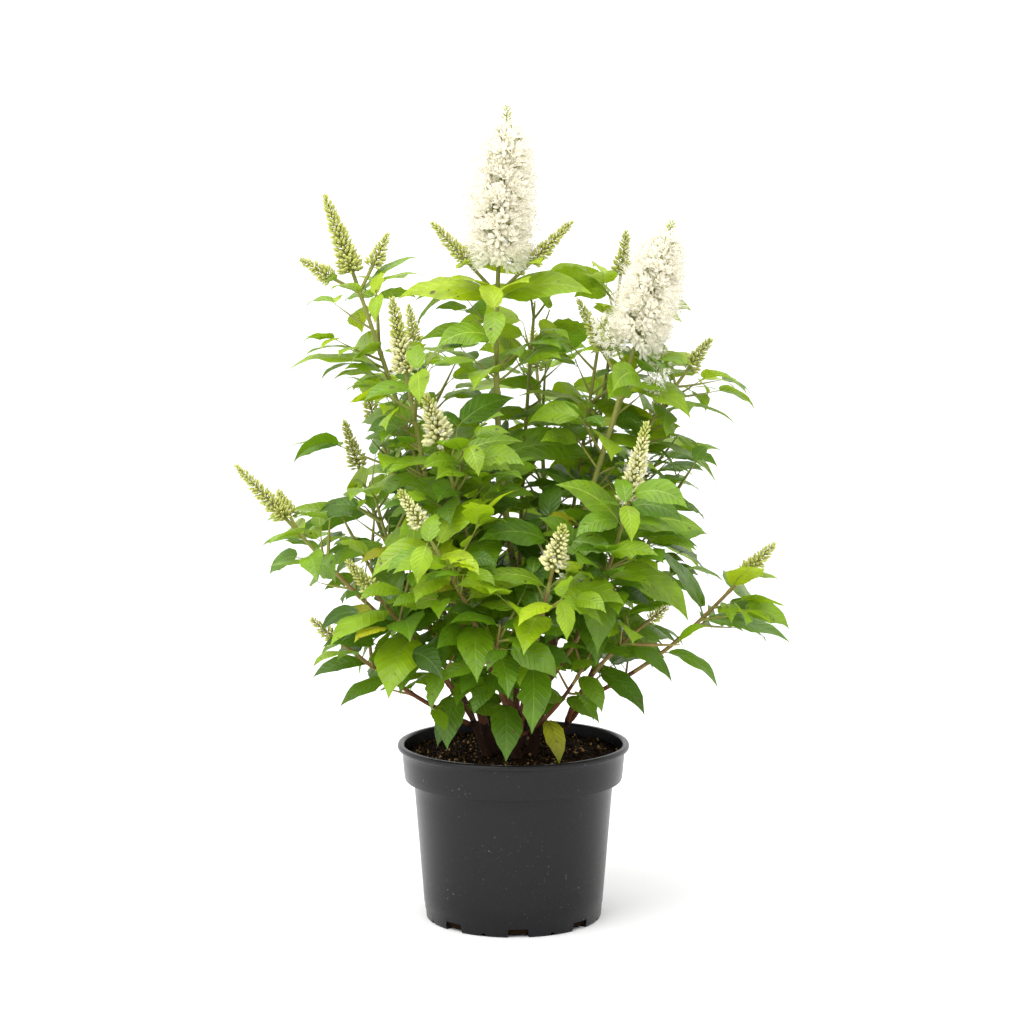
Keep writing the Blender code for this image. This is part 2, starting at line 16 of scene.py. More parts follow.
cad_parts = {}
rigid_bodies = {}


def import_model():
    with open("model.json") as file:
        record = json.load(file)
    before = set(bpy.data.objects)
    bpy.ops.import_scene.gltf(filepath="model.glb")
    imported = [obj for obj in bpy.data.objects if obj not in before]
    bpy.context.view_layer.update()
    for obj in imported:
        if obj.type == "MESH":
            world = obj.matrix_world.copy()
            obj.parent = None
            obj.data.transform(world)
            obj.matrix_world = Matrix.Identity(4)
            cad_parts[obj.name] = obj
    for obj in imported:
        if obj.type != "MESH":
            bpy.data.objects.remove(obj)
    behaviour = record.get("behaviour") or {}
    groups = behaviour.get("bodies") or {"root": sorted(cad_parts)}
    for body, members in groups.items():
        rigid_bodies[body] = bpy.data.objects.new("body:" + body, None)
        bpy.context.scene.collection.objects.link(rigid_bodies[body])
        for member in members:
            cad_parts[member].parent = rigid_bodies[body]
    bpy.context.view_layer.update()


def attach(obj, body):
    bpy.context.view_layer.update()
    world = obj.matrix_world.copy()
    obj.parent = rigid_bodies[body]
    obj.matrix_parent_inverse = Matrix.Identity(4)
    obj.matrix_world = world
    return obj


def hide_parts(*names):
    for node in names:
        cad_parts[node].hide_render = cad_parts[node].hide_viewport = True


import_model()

# %% [markdown]
# ## Wiring node trees
# Materials and Geometry Nodes are both node trees, so one small helper wires them all. Each call adds
# a node, sets its options and joins its inputs. Doing this in code keeps every number in sight and
# makes the tree the same on every run, which a tree drawn by hand in the editor doesn't promise.


# %% A helper that adds and joins nodes
class Wiring:
    """A node tree being wired: a call adds one node, sets its options and joins its inputs."""

    def __init__(self, tree):
        self.tree = tree

    def __call__(self, kind, inputs=None, **options):
        made = self.tree.nodes.new(kind)
        for key, value in options.items():
            setattr(made, key, value)
        for key, value in (inputs or {}).items():
            if isinstance(value, bpy.types.NodeSocket):
                self.tree.links.new(value, made.inputs[key])
            else:
                made.inputs[key].default_value = value
        return made

    def math(self, operation, *terms):
        """The result of one step of arithmetic on numbers."""
        return self("ShaderNodeMath", dict(enumerate(terms)), operation=operation).outputs[0]

    def vector(self, operation, *terms):
        """The result of one step of arithmetic on vectors."""
        return self("ShaderNodeVectorMath", dict(enumerate(terms)), operation=operation).outputs[0]

    def scaled(self, vector, factor):
        """A vector times a number."""
        made = self("ShaderNodeVectorMath", {0: vector, "Scale": factor}, operation="SCALE")
        return made.outputs[0]

    def blend(self, vector_a, factor_a, vector_b, factor_b):
        """The sum of two vectors, each times its own number."""
        return self.vector("ADD", self.scaled(vector_a, factor_a), self.scaled(vector_b, factor_b))

    def noise(self, vector, scale, detail=2.0):
        """A smooth noise between 0 and 1."""
        return self("ShaderNodeTexNoise", {"Vector": vector, "Scale": scale, "Detail": detail}).outputs[0]

    def between(self, value, low, high, start=0.0, end=1.0):
        """A number carried from one range to another."""
        made = self("ShaderNodeMapRange", {"Value": value, "From Min": start, "From Max": end,
                                           "To Min": low, "To Max": high})
        return made.outputs[0]

    def read(self, name, kind="FLOAT"):
        """An attribute of the geometry, read by its name."""
        return self("GeometryNodeInputNamedAttribute", {"Name": name}, data_type=kind).outputs[0]


# %% [markdown]
# ## Finishes
# Nothing on a plant is one flat colour. Each finish starts from a plain base colour, mottles it a
# little with a noise, and lets two more noises drive the roughness and a fine bump. The noises read
# Object coordinates, so they stay put when the piece is copied into another scene, and no picture
# files are needed.

# %% The common finish
def finish(name, colour, rough, grain=300.0, relief=0.0002, mottle=0.12, swing=0.10, stretch=(1, 1, 1),
           gloss=0.5):
    """A material with a mottled colour, uneven roughness and a fine bump; returns it with its parts."""
    made = bpy.data.materials.new(name)
    made.use_nodes = True
    add = Wiring(made.node_tree)
    shader = made.node_tree.nodes["Principled BSDF"]
    place = add("ShaderNodeTexCoord").outputs["Object"]
    place = add("ShaderNodeMapping", {"Vector": place, "Scale": stretch}).outputs[0]
    patches = add.noise(place, grain / 6, 3.0)
    shade = add.between(patches, 1 - mottle, 1 + mottle, 0.3, 0.7)
    base = add("ShaderNodeRGB")
    base.outputs[0].default_value = (*colour, 1.0)
    made.node_tree.links.new(add.scaled(base.outputs[0], shade), shader.inputs["Base Color"])
    fine = add.noise(place, grain, 4.0)
    made.node_tree.links.new(add.between(fine, max(rough - swing, 0.02), min(rough + swing, 1.0), 0.3, 0.7),
                             shader.inputs["Roughness"])
    bump = add("ShaderNodeBump", {"Height": fine, "Distance": relief, "Strength": 1.0})
    made.node_tree.links.new(bump.outputs[0], shader.inputs["Normal"])
    shader.inputs["Specular IOR Level"].default_value = gloss
    return made, add, shader, bump


# %% [markdown]
# A leaf is thin: part of the light that falls on one side comes out of the other, warmer and more
# yellow, which is why leaves against a bright background glow. A Translucent shader mixed into the
# usual one does that without making the leaf see-through. The side veins are pressed into the blade
# by a bump that reads the leaf's own map, so they follow each leaf however it bends, and they are a
# little paler than the blade. A noise that is cut off high leaves a few brown blots, as insects and
# weather do.

# %% The leaf finish
VEINS = 9.0
VEIN_SLANT = 1.1
LEAF_GLOW = 0.33
VEIN_PALER = 0.30
BLOT_FROM = 0.70
BLOT_COLOUR = (0.060, 0.034, 0.008)


def leaf_finish(name, colour, glow, rough=0.40):
    """The finish of a leaf blade: a mottled green, pressed side veins and some light let through."""
    made, add, shader, bump = finish(name, colour, rough, grain=420, relief=0.00012, mottle=0.26,
                                     swing=0.08, gloss=0.42)
    chart = add("ShaderNodeUVMap", uv_map="leaf_map").outputs[0]
    split = add("ShaderNodeSeparateXYZ", {0: chart})
    run = add.math("SUBTRACT", split.outputs[1],
                   add.math("MULTIPLY", add.math("ABSOLUTE", split.outputs[0]), VEIN_SLANT))
    step = add.math("FRACT", add.math("MULTIPLY", run, VEINS))
    ridge = add.math("MULTIPLY", add.math("ABSOLUTE", add.math("SUBTRACT", step, 0.5)), 2.0)
    groove = add.math("MULTIPLY", add.math("POWER", ridge, 5.0), -1.0)
    veins = add("ShaderNodeBump", {"Height": groove, "Distance": 0.00045, "Strength": 0.8,
                                   "Normal": bump.outputs[0]})
    made.node_tree.links.new(veins.outputs[0], shader.inputs["Normal"])
    mottled = shader.inputs["Base Color"].links[0].from_socket
    lighter = add.math("ADD", 0.92, add.math("MULTIPLY", add.math("POWER", ridge, 7.0), VEIN_PALER))
    veined = add.scaled(mottled, lighter)
    place = add("ShaderNodeTexCoord").outputs["Object"]
    blots = add.between(add.noise(place, 190.0, 1.0), 0.0, 1.0, BLOT_FROM, BLOT_FROM + 0.03)
    blotted = add("ShaderNodeMix", {"Factor": add("ShaderNodeClamp", {0: blots}).outputs[0]},
                  data_type="RGBA")
    made.node_tree.links.new(veined, blotted.inputs[6])
    blotted.inputs[7].default_value = (*BLOT_COLOUR, 1.0)
    made.node_tree.links.new(blotted.outputs[2], shader.inputs["Base Color"])
    through = add("ShaderNodeBsdfTranslucent", {"Color": (*glow, 1.0), "Normal": veins.outputs[0]})
    mixed = add("ShaderNodeMixShader", {0: LEAF_GLOW, 1: shader.outputs[0], 2: through.outputs[0]})
    made.node_tree.links.new(mixed.outputs[0], made.node_tree.nodes["Material Output"].inputs[0])
    return made


# %% [markdown]
# The greens come partly from the leaves' age and partly from painted light and shade. The newest
# leaves under the buds are yellow-green, and leaves high and far out in the crown get these light tints
# as painted light. The full ones are a clear mid green, and those low inside the crown get deep green
# as painted shade. Each band has three plain tints, dealt out leaf by leaf, so neighbours differ as
# they do on a real plant.

# %% The tints of the leaves
# Young tints stand partly for painted light on high, outer leaves, and deep tints for painted shade low
# inside the crown.
AGE_AND_LIGHT_TINTS = {
    "young": (((0.223, 0.352, 0.006), (0.35, 0.51, 0.010)), ((0.156, 0.276, 0.006), (0.28, 0.44, 0.010)),
              ((0.313, 0.428, 0.008), (0.43, 0.57, 0.012))),
    "mid": (((0.128, 0.246, 0.005), (0.25, 0.43, 0.008)), ((0.183, 0.308, 0.006), (0.30, 0.47, 0.008)),
            ((0.082, 0.180, 0.005), (0.18, 0.35, 0.008))),
    "deep": (((0.059, 0.136, 0.004), (0.16, 0.31, 0.006)), ((0.090, 0.180, 0.005), (0.20, 0.35, 0.006)),
             ((0.039, 0.097, 0.004), (0.11, 0.24, 0.006))),
}
blades = {age_and_light: [leaf_finish("%s_leaf_%d" % (age_and_light, i + 1), *tint) for i, tint in enumerate(tints)]
          for age_and_light, tints in AGE_AND_LIGHT_TINTS.items()}
# The deep band's darker rib is painted shade as well.
ribs = {"young": finish("young_rib", (0.270, 0.360, 0.035), 0.5)[0],
        "mid": finish("mid_rib", (0.165, 0.260, 0.025), 0.5)[0],
        "deep": finish("deep_rib", (0.090, 0.160, 0.018), 0.5)[0]}
spent = leaf_finish("spent_leaf", (0.300, 0.310, 0.012), (0.40, 0.41, 0.01))
print("leaf finishes", sum(len(tints) for tints in blades.values()) + 1)

# %% [markdown]
# ## How the shrub grows
# The plant is grown a second time here by the rule of its solids: the same tables of limbs and shoots,
# the same stems, and the same seats for the leaves. The leaves are then turned to the light, those that
# would fill a gap in the crown are left out, and finer twigs are added. Lengths are in metres with +Z
# up, the front looks towards -Y, and bearings are in degrees from +X towards +Y.

# %% Sizes of the pot, the compost and the wood
UP = Vector((0, 0, 1))
GAP = 0.0003
POT_HEIGHT = 0.1445
LIP_R = 0.0950
LIP_HEIGHT = 0.0050
COLLAR_TOP_R = 0.0915
COLLAR_FOOT_R = 0.0893
COLLAR_Z = 0.1145
BODY_TOP_R = 0.0819
FOOT_R = 0.0725
WALL = 0.0018
FLOOR = 0.0022
ROOM_SIDES = 44
SOIL_MID_Z = 0.1362
SOIL_EDGE_Z = 0.1350
SOIL_MID_R = 0.034
CANE_FOOT_R = 0.0050
CANE_TIP_R = 0.0030
FLARE = 1.35
BOUGH_FOOT_R = 0.0023
BOUGH_TIP_R = 0.0018
SPRIG_FOOT_R = 0.0018
SPRIG_TIP_R = 0.0013
TWIG_R = 0.0015
SEED = 11


def polar(bearing, reach, height=0.0):
    """A point given by its bearing, its distance from the axis and its height."""
    b = math.radians(bearing)
    return Vector((reach * math.cos(b), reach * math.sin(b), height))

# %% [markdown]
# Eight canes rise from the compost, and fifteen boughs leave them on the way up. A table holds what
# can't follow from a rule: where each foot stands, where each tip ends and which cane carries which
# bough. Everything else about a limb is worked out from these.

# %% The canes and boughs
# Each cane: the bearing and reach of its foot, then its tip, and the girth
CANES = {
    "cane_centre": (100, 0.003, (0.003, -0.003, 0.270), 1.0),
    "cane_right": (338, 0.016, (0.038, -0.014, 0.268), 0.85),
    "cane_left": (188, 0.017, (-0.052, -0.004, 0.290), 0.8),
    "cane_low_left": (216, 0.027, (-0.052, -0.024, 0.210), 0.62),
    "cane_low_right": (350, 0.031, (0.064, -0.025, 0.188), 0.62),
    "cane_front": (276, 0.022, (0.011, -0.064, 0.204), 0.72),
    "cane_back": (75, 0.024, (0.022, 0.060, 0.255), 0.75),
    "cane_back_left": (132, 0.024, (-0.042, 0.050, 0.245), 0.75),
}

# Each bough: the cane it leaves, how far up that cane, and its tip
BOUGHS = {
    "bough_centre_back": ("cane_centre", 0.66, (0.006, 0.036, 0.318)),
    "bough_centre_front": ("cane_centre", 0.48, (-0.030, -0.048, 0.292)),
    "bough_right_upper": ("cane_right", 0.72, (0.074, 0.010, 0.322)),
    "bough_right_back": ("cane_right", 0.52, (0.056, 0.046, 0.318)),
    "bough_left_front": ("cane_left", 0.74, (-0.066, -0.034, 0.345)),
    "bough_left_back": ("cane_left", 0.58, (-0.078, 0.030, 0.300)),
    "bough_mid_left": ("cane_low_left", 0.62, (-0.062, -0.056, 0.216)),
    "bough_low_left": ("cane_low_left", 0.36, (-0.066, -0.038, 0.182)),
    "bough_low_right": ("cane_low_right", 0.50, (0.060, -0.052, 0.205)),
    "bough_right_mid": ("cane_low_right", 0.66, (0.078, 0.010, 0.232)),
    "bough_front_left": ("cane_front", 0.56, (-0.022, -0.076, 0.232)),
    "bough_front_right": ("cane_front", 0.66, (0.050, -0.066, 0.240)),
    "bough_back_right": ("cane_back", 0.60, (0.070, 0.068, 0.262)),
    "bough_back_low": ("cane_back", 0.36, (0.010, 0.082, 0.200)),
    "bough_back_left": ("cane_back_left", 0.56, (-0.084, 0.066, 0.252)),
}
print("canes", len(CANES), "boughs", len(BOUGHS))

# %% [markdown]
# Each leafy shoot is a small record of its own: what carries it, where its tip ends, how many pairs of
# leaves it has and what flower stands on it. Two shoots are in full blossom, most end in a spike of
# buds, and some inside the crown have only leaves. A class with defaults keeps each line short.


# %% The shoots
class Sprig:
    """One leafy shoot: what carries it, where its tip is, and how it is dressed."""

    def __init__(self, on, tip, pairs=5, leaf=1.0, flower="bud", spike=0.045, width=0.017,
                 side_spikes=0, twigs=1, turn=0, at=1.0, age_and_light="mid", droop=44, neck=0.020):
        self.on = on
        self.tip = Vector(tip)
        self.pairs = pairs
        self.leaf = leaf
        self.flower = flower
        self.spike = spike if flower else 0.0
        self.width = width
        self.side_spikes = side_spikes
        self.twigs = twigs
        self.turn = turn
        self.at = at
        self.age_and_light = age_and_light
        self.droop = droop
        self.neck = neck if flower else 0.006


# The deep shoots are those inside the crown and at its skirt; their darker leaves are painted shade.
SPRIGS = {
    "centre_bloom": Sprig("cane_centre", (-0.005, -0.005, 0.658), pairs=4, leaf=1.08,
                          flower="bloom", spike=0.128, width=0.044, side_spikes=2, neck=0.023),
    "right_bloom": Sprig("cane_right", (0.126, -0.020, 0.567), pairs=4, leaf=1.0,
                         flower="bloom", spike=0.106, width=0.048, side_spikes=1, turn=165,
                         neck=0.034),
    "tall_left": Sprig("cane_left", (-0.150, 0.000, 0.586), pairs=5, leaf=0.9,
                       spike=0.062, width=0.022, side_spikes=2, turn=10, age_and_light="young"),
    "cream_left": Sprig("bough_left_front", (-0.095, -0.045, 0.505), pairs=4,
                        spike=0.058, width=0.022, turn=20),
    "short_white": Sprig("bough_centre_front", (-0.067, -0.075, 0.430), pairs=4, leaf=0.9,
                         spike=0.036, width=0.026, turn=30),
    "front_left": Sprig("bough_front_left", (-0.086, -0.115, 0.362), pairs=4, leaf=0.92,
                        spike=0.032, width=0.018, turn=10, age_and_light="young"),
    "far_left": Sprig("cane_low_left", (-0.220, -0.030, 0.373), pairs=5, leaf=0.85,
                      spike=0.056, width=0.018, side_spikes=1, turn=80, age_and_light="young"),
    "low_left": Sprig("bough_low_left", (-0.160, -0.045, 0.252), pairs=4, leaf=0.85,
                      spike=0.026, width=0.016, turn=75),
    "mid_left": Sprig("bough_mid_left", (-0.128, -0.090, 0.304), pairs=4,
                      spike=0.032, width=0.018, turn=60),
    "front_centre": Sprig("cane_front", (0.037, -0.135, 0.336), pairs=4, leaf=0.92,
                          spike=0.036, width=0.024, turn=5, age_and_light="young"),
    "front_right": Sprig("bough_front_right", (0.103, -0.078, 0.410), pairs=5,
                         spike=0.062, width=0.022, turn=0),
    "far_right": Sprig("cane_low_right", (0.208, -0.022, 0.309), pairs=5, leaf=1.08,
                       spike=0.030, width=0.018, side_spikes=1, twigs=0, turn=72,
                       age_and_light="young", droop=34),
    "upper_right": Sprig("bough_right_upper", (0.160, 0.030, 0.471), pairs=5,
                         spike=0.030, width=0.018, turn=15),
    "back_right": Sprig("bough_right_back", (0.093, 0.062, 0.558), pairs=4, leaf=0.8,
                        spike=0.034, width=0.018, turn=160),
    "right_inner": Sprig("cane_right", (0.072, 0.024, 0.486), at=0.90, pairs=4, leaf=0.95,
                         flower=None, turn=70, age_and_light="deep"),
    "back_centre": Sprig("bough_centre_back", (0.018, 0.060, 0.505), pairs=4, leaf=0.8,
                         flower=None, turn=20, age_and_light="young"),
    "centre_inner": Sprig("cane_centre", (-0.030, 0.040, 0.425), at=0.84, pairs=4,
                          spike=0.026, width=0.016, turn=40, age_and_light="deep"),
    "inner_left": Sprig("bough_left_back", (-0.122, 0.045, 0.428), pairs=4,
                        spike=0.026, width=0.018, turn=70),
    "low_right": Sprig("bough_low_right", (0.120, -0.078, 0.268), pairs=4, leaf=0.85,
                       spike=0.018, width=0.014, turn=60),
    "right_middle": Sprig("bough_right_mid", (0.138, 0.044, 0.362), pairs=5, leaf=0.95,
                          flower=None, turn=10, age_and_light="deep"),
    "skirt_left": Sprig("cane_low_left", (-0.060, -0.088, 0.226), at=0.42, pairs=4, leaf=0.68,
                        flower=None, turn=75, age_and_light="deep", twigs=0, droop=56),
    "skirt_right": Sprig("cane_front", (0.062, -0.084, 0.236), at=0.30, pairs=4, leaf=0.64,
                         flower=None, turn=20, age_and_light="deep", twigs=0, droop=56),
    "skirt_front": Sprig("cane_front", (-0.010, -0.118, 0.262), at=0.52, pairs=4, leaf=0.76,
                         flower=None, turn=10, age_and_light="mid", twigs=0, droop=56),
    "front_inner": Sprig("cane_centre", (0.030, -0.078, 0.322), at=0.55, pairs=4,
                         flower=None, turn=15, age_and_light="deep"),
    "left_inner": Sprig("cane_left", (-0.112, -0.020, 0.352), at=0.50, pairs=4,
                        flower=None, turn=80, age_and_light="deep"),
}

# The back of the crown is filled by shoots set out in a fan
FAN = ("cane_back", "bough_back_right", "cane_back_left", "bough_back_left")
FAN_BEARING = (84, 40, 124, 152)
FAN_REACH = 0.160
FAN_HEIGHT = (0.475, 0.425, 0.495, 0.400)
for place, (carrier, bearing, height) in enumerate(zip(FAN, FAN_BEARING, FAN_HEIGHT)):
    SPRIGS["back_fan_%d" % (place + 1)] = Sprig(
        carrier, polar(bearing, FAN_REACH, height), pairs=5, spike=0.040, width=0.018,
        turn=30 * place, age_and_light=("mid", "deep")[place % 2])
UNDER = ("bough_back_low", "cane_back", "cane_back_left", "cane_back")
UNDER_AT = (1.0, 0.46, 0.40, 0.78)
UNDER_BEARING = (100, 42, 158, 66)
for place, (carrier, at, bearing) in enumerate(zip(UNDER, UNDER_AT, UNDER_BEARING)):
    SPRIGS["back_under_%d" % (place + 1)] = Sprig(
        carrier, polar(bearing, 0.155, 0.285 + 0.02 * place), at=at, pairs=4, leaf=0.95,
        flower=None, turn=25 * place, age_and_light="deep")
print("shoots", len(SPRIGS))

# %% [markdown]
# A stem is a curve through three points: its foot, a knee set by the way it sets out, and its tip. Bent
# that way it leaves its parent smoothly and then turns to its tip, as a growing shoot does. The curve
# is measured by distance, so pairs of leaves can be set out evenly along it.


# %% A stem
class Stem:
    """A smooth curve with a taper, measured by distance from its foot."""

    STEPS = 24

    def __init__(self, foot, heading, tip, radius, tip_radius, cut=None, bend=0.36, bow=(0, 0, 0)):
        knee = foot + heading * (tip - foot).length * bend
        bow = Vector(bow)
        self.points = []
        self.tangents = []
        for i in range(self.STEPS + 1):
            t = i / self.STEPS
            self.points.append(foot * (1 - t) ** 2 + knee * 2 * t * (1 - t) + tip * t * t
                               + bow * math.sin(math.pi * t))
            self.tangents.append(((knee - foot) * 2 * (1 - t) + (tip - knee) * 2 * t
                                  + bow * math.pi * math.cos(math.pi * t)).normalized())
        self.reach = [0.0]
        for a, b in zip(self.points, self.points[1:]):
            self.reach.append(self.reach[-1] + (b - a).length)
        self.length = self.reach[-1]
        self.radius = radius
        self.tip_radius = tip_radius
        self.cut = cut
        level = Vector((tip.x - foot.x, tip.y - foot.y, 0))
        self.across = UP.cross(level).normalized() if level.length > 0.004 else Vector((0, 1, 0))

    def place(self, s):
        """The point and the direction at distance s."""
        s = min(max(s, 0.0), self.length)
        i = 0
        while i < self.STEPS - 1 and self.reach[i + 1] < s:
            i += 1
        t = (s - self.reach[i]) / (self.reach[i + 1] - self.reach[i])
        point = self.points[i].lerp(self.points[i + 1], t)
        return point, self.tangents[i].lerp(self.tangents[i + 1], t).normalized()

    def girth(self, s):
        """The radius at distance s."""
        return self.radius + (self.tip_radius - self.radius) * s / self.length

# %% [markdown]
# Leaves mustn't grow through each other. Each piece that is set gets a plain shell round it, and a new
# leaf is only set where its own shell touches none of them. These shells are never shown. They have
# the shapes of the plain solids, so a leaf that has room among the solids has room here.


# %% Plain shells that stand for limbs and spikes
def tube(stem, sides, rings, extra=0.0, start=0.0, end=None):
    """Vertices and faces of a tapering limb along a stem."""
    end = stem.length if end is None else end
    verts, faces = [], []
    for s in (start + (end - start) * i / rings for i in range(rings + 1)):
        point, along = stem.place(s)
        radius = stem.girth(s) + extra
        u = (stem.across - along * stem.across.dot(along)).normalized()
        v = along.cross(u)
        for k in range(sides):
            a = 2 * math.pi * k / sides
            corner = (u * math.cos(a) + v * math.sin(a)) * radius
            verts.append(point + corner)
    for r in range(rings):
        for k in range(sides):
            a, b = r * sides + k, r * sides + (k + 1) % sides
            faces.append((a, b, b + sides, a + sides))
    faces.append(tuple(reversed(range(sides))))
    faces.append(tuple(range(len(verts) - sides, len(verts))))
    return verts, faces


def plume(stem, start, end, width, sides, profile, extra=0.0):
    """A flower spike: a closed lumpy cone round the end of a stem."""
    verts, faces = [stem.place(start)[0]], []
    for i, (t, part) in enumerate(profile):
        point, along = stem.place(start + (end - start) * t)
        u = (stem.across - along * stem.across.dot(along)).normalized()
        v = along.cross(u)
        for k in range(sides):
            a = 2 * math.pi * (k + 0.5 * (i % 2)) / sides
            verts.append(point + (u * math.cos(a) + v * math.sin(a)) * (width / 2 * part + extra))
    verts.append(stem.place(end)[0])
    last = len(verts) - 1
    for k in range(sides):
        nxt = (k + 1) % sides
        faces.append((0, 1 + nxt, 1 + k))
        faces.append((last, last - sides + k, last - sides + nxt))
    for r in range(len(profile) - 1):
        for k in range(sides):
            nxt = (k + 1) % sides
            a, b = 1 + r * sides + k, 1 + r * sides + nxt
            c, d = a + sides, b + sides
            if r % 2 == 0:
                faces.append((a, b, c))
                faces.append((b, d, c))
            else:
                faces.append((a, b, d))
                faces.append((a, d, c))
    return verts, faces


BUD_PROFILE = ((0.10, 0.78), (0.30, 1.0), (0.58, 0.72), (0.82, 0.48))
BLOOM_PROFILE = ((0.04, 0.62), (0.14, 0.95), (0.27, 1.0), (0.42, 0.92), (0.56, 0.92),
                 (0.70, 0.80), (0.82, 0.66), (0.92, 0.42), (0.97, 0.16))
SMALL_PROFILE = ((0.15, 0.8), (0.45, 1.0), (0.75, 0.6))

# %% [markdown]
# A leaf's midrib is an arc: it leaves the stem at a lift and turns down evenly by its droop, under its
# own weight. The same arc later bends the finely cut leaf, so the plain shell below and the fine leaf
# lie in one place.


# %% The arc of a leaf and its plain shell
LEAF_LENGTH = 0.083
LEAF_WIDTH = 0.46
LEAF_THICK = 0.0011
LEAF_FOLD = math.radians(20)
STALK_TO = 0.10
STALK_R = 0.0006
WIDE_AT = 0.42
NARROW_AT = 0.75
NARROW_WIDTH = 0.66
SMALL_LEAF = 0.74
TILT_OUT = math.radians(38)
CLEARANCE = 0.0009
CLEAR_FROM = 0.0052
PAIR_STEP = 0.0022
TRIES = 9


class Leaf:
    """One arching leaf: it leaves its stem at a lift and bends down by its droop."""

    def __init__(self, root, bearing, lift, droop, length, roll, small=False):
        self.root = root
        self.small = small
        self.out = Vector((math.cos(bearing), math.sin(bearing), 0))
        self.side = Vector((-math.sin(bearing), math.cos(bearing), 0))
        self.lift = lift
        self.droop = droop
        self.length = length
        self.roll = roll

    def station(self, t):
        """The midrib point, the sideways and the upward direction at part t of the length."""
        angle = self.lift - self.droop * t
        scale = self.length / self.droop
        point = (self.root + self.out * scale * (math.sin(self.lift) - math.sin(angle))
                 + UP * scale * (math.cos(angle) - math.cos(self.lift)))
        normal = UP * math.cos(angle) - self.out * math.sin(angle)
        side = self.side * math.cos(self.roll) + normal * math.sin(self.roll)
        return point, side, normal * math.cos(self.roll) - self.side * math.sin(self.roll)

    def shell(self, start=0.0, extra=0.0):
        """Vertices and faces of the leaf as a thin closed solid, stalk first."""
        half = self.length * LEAF_WIDTH / 2
        thick = LEAF_THICK / 2 + extra
        stalk = STALK_R + extra
        side, normal = self.station(STALK_TO / 2)[1:]
        verts = []
        for t in (start, max(STALK_TO, start + 0.02)):
            point = self.station(t)[0]
            verts += [point + side * stalk + normal * thick, point - side * stalk + normal * thick,
                      point - normal * thick]
        for t, part in ((WIDE_AT, 1.0), (NARROW_AT, NARROW_WIDTH))[:1 if self.small else 2]:
            point, side, normal = self.station(t)
            reach = half * part + extra
            rise = normal * reach * math.sin(LEAF_FOLD)
            verts.append(point + side * reach * math.cos(LEAF_FOLD) + rise)
            if t == WIDE_AT:
                verts.append(point + normal * thick)
            verts.append(point - side * reach * math.cos(LEAF_FOLD) + rise)
            verts.append(point - normal * thick)
        verts.append(self.station(1.0 + 0.01 * (extra > 0))[0])
        return verts, SMALL_FACES if self.small else LEAF_FACES


# Stalk prism, then the blade: a folded section, a flat one and the tip
STALK_FACES = [
    (0, 2, 1), (0, 1, 4, 3), (1, 2, 5, 4), (2, 0, 3, 5),
    (3, 4, 7), (3, 7, 6), (4, 8, 7), (3, 6, 9), (3, 9, 5), (5, 9, 8), (5, 8, 4),
]
SMALL_FACES = STALK_FACES + [(6, 7, 10), (7, 8, 10), (8, 9, 10), (9, 6, 10)]
LEAF_FACES = STALK_FACES + [
    (6, 7, 10), (7, 11, 10), (7, 8, 11), (6, 10, 12), (6, 12, 9), (9, 12, 11), (9, 11, 8),
    (10, 11, 13), (11, 12, 13), (12, 10, 13),
]

# %% Room in the crown


def trees(shells):
    """Search trees of some shells, for finding what touches what."""
    return [BVHTree.FromPolygons([tuple(v) for v in verts], faces) for verts, faces in shells]


def middle(verts):
    """The middle of a shell and the radius of the ball around it."""
    centre = sum((Vector(v) for v in verts), Vector()) / len(verts)
    return centre, max((Vector(v) - centre).length for v in verts)


class Space:
    """What is taken so far, so that a new leaf is only set where there is room."""

    def __init__(self):
        self.taken = []

    def add(self, shell):
        """Marks a shell's place as taken."""
        self.taken.append((*middle(shell[0]), trees([shell])[0]))

    def free(self, shell):
        """Whether a shell would touch nothing."""
        centre, radius = middle(shell[0])
        tree = None
        for other, reach, taken in self.taken:
            if (other - centre).length > reach + radius:
                continue
            tree = tree or trees([shell])[0]
            if tree.overlap(taken):
                return False
        return True


def revolve(profile, sides):
    """Vertices and faces of a closed profile turned round the upright axis."""
    verts, faces, rings = [], [], []
    for r, z in profile:
        if r < 1e-6:
            rings.append([len(verts)] * sides)
            verts.append(Vector((0, 0, z)))
        else:
            rings.append([len(verts) + k for k in range(sides)])
            verts += [polar(360 * k / sides, r, z) for k in range(sides)]
    pairs = list(zip(rings, rings[1:]))
    if profile[0][0] > 1e-6:
        pairs.append((rings[-1], rings[0]))
    for low, high in pairs:
        for k in range(sides):
            n = (k + 1) % sides
            face = [low[k], low[n], high[n], high[k]]
            face = [v for i, v in enumerate(face) if v != face[i - 1]]
            if len(face) > 2:
                faces.append(tuple(face))
    return verts, faces

# %% [markdown]
# The pot and the compost take up their room first, then the canes, then the boughs. A bough or shoot
# that leaves a limb part of the way up starts on the side that faces its own tip.

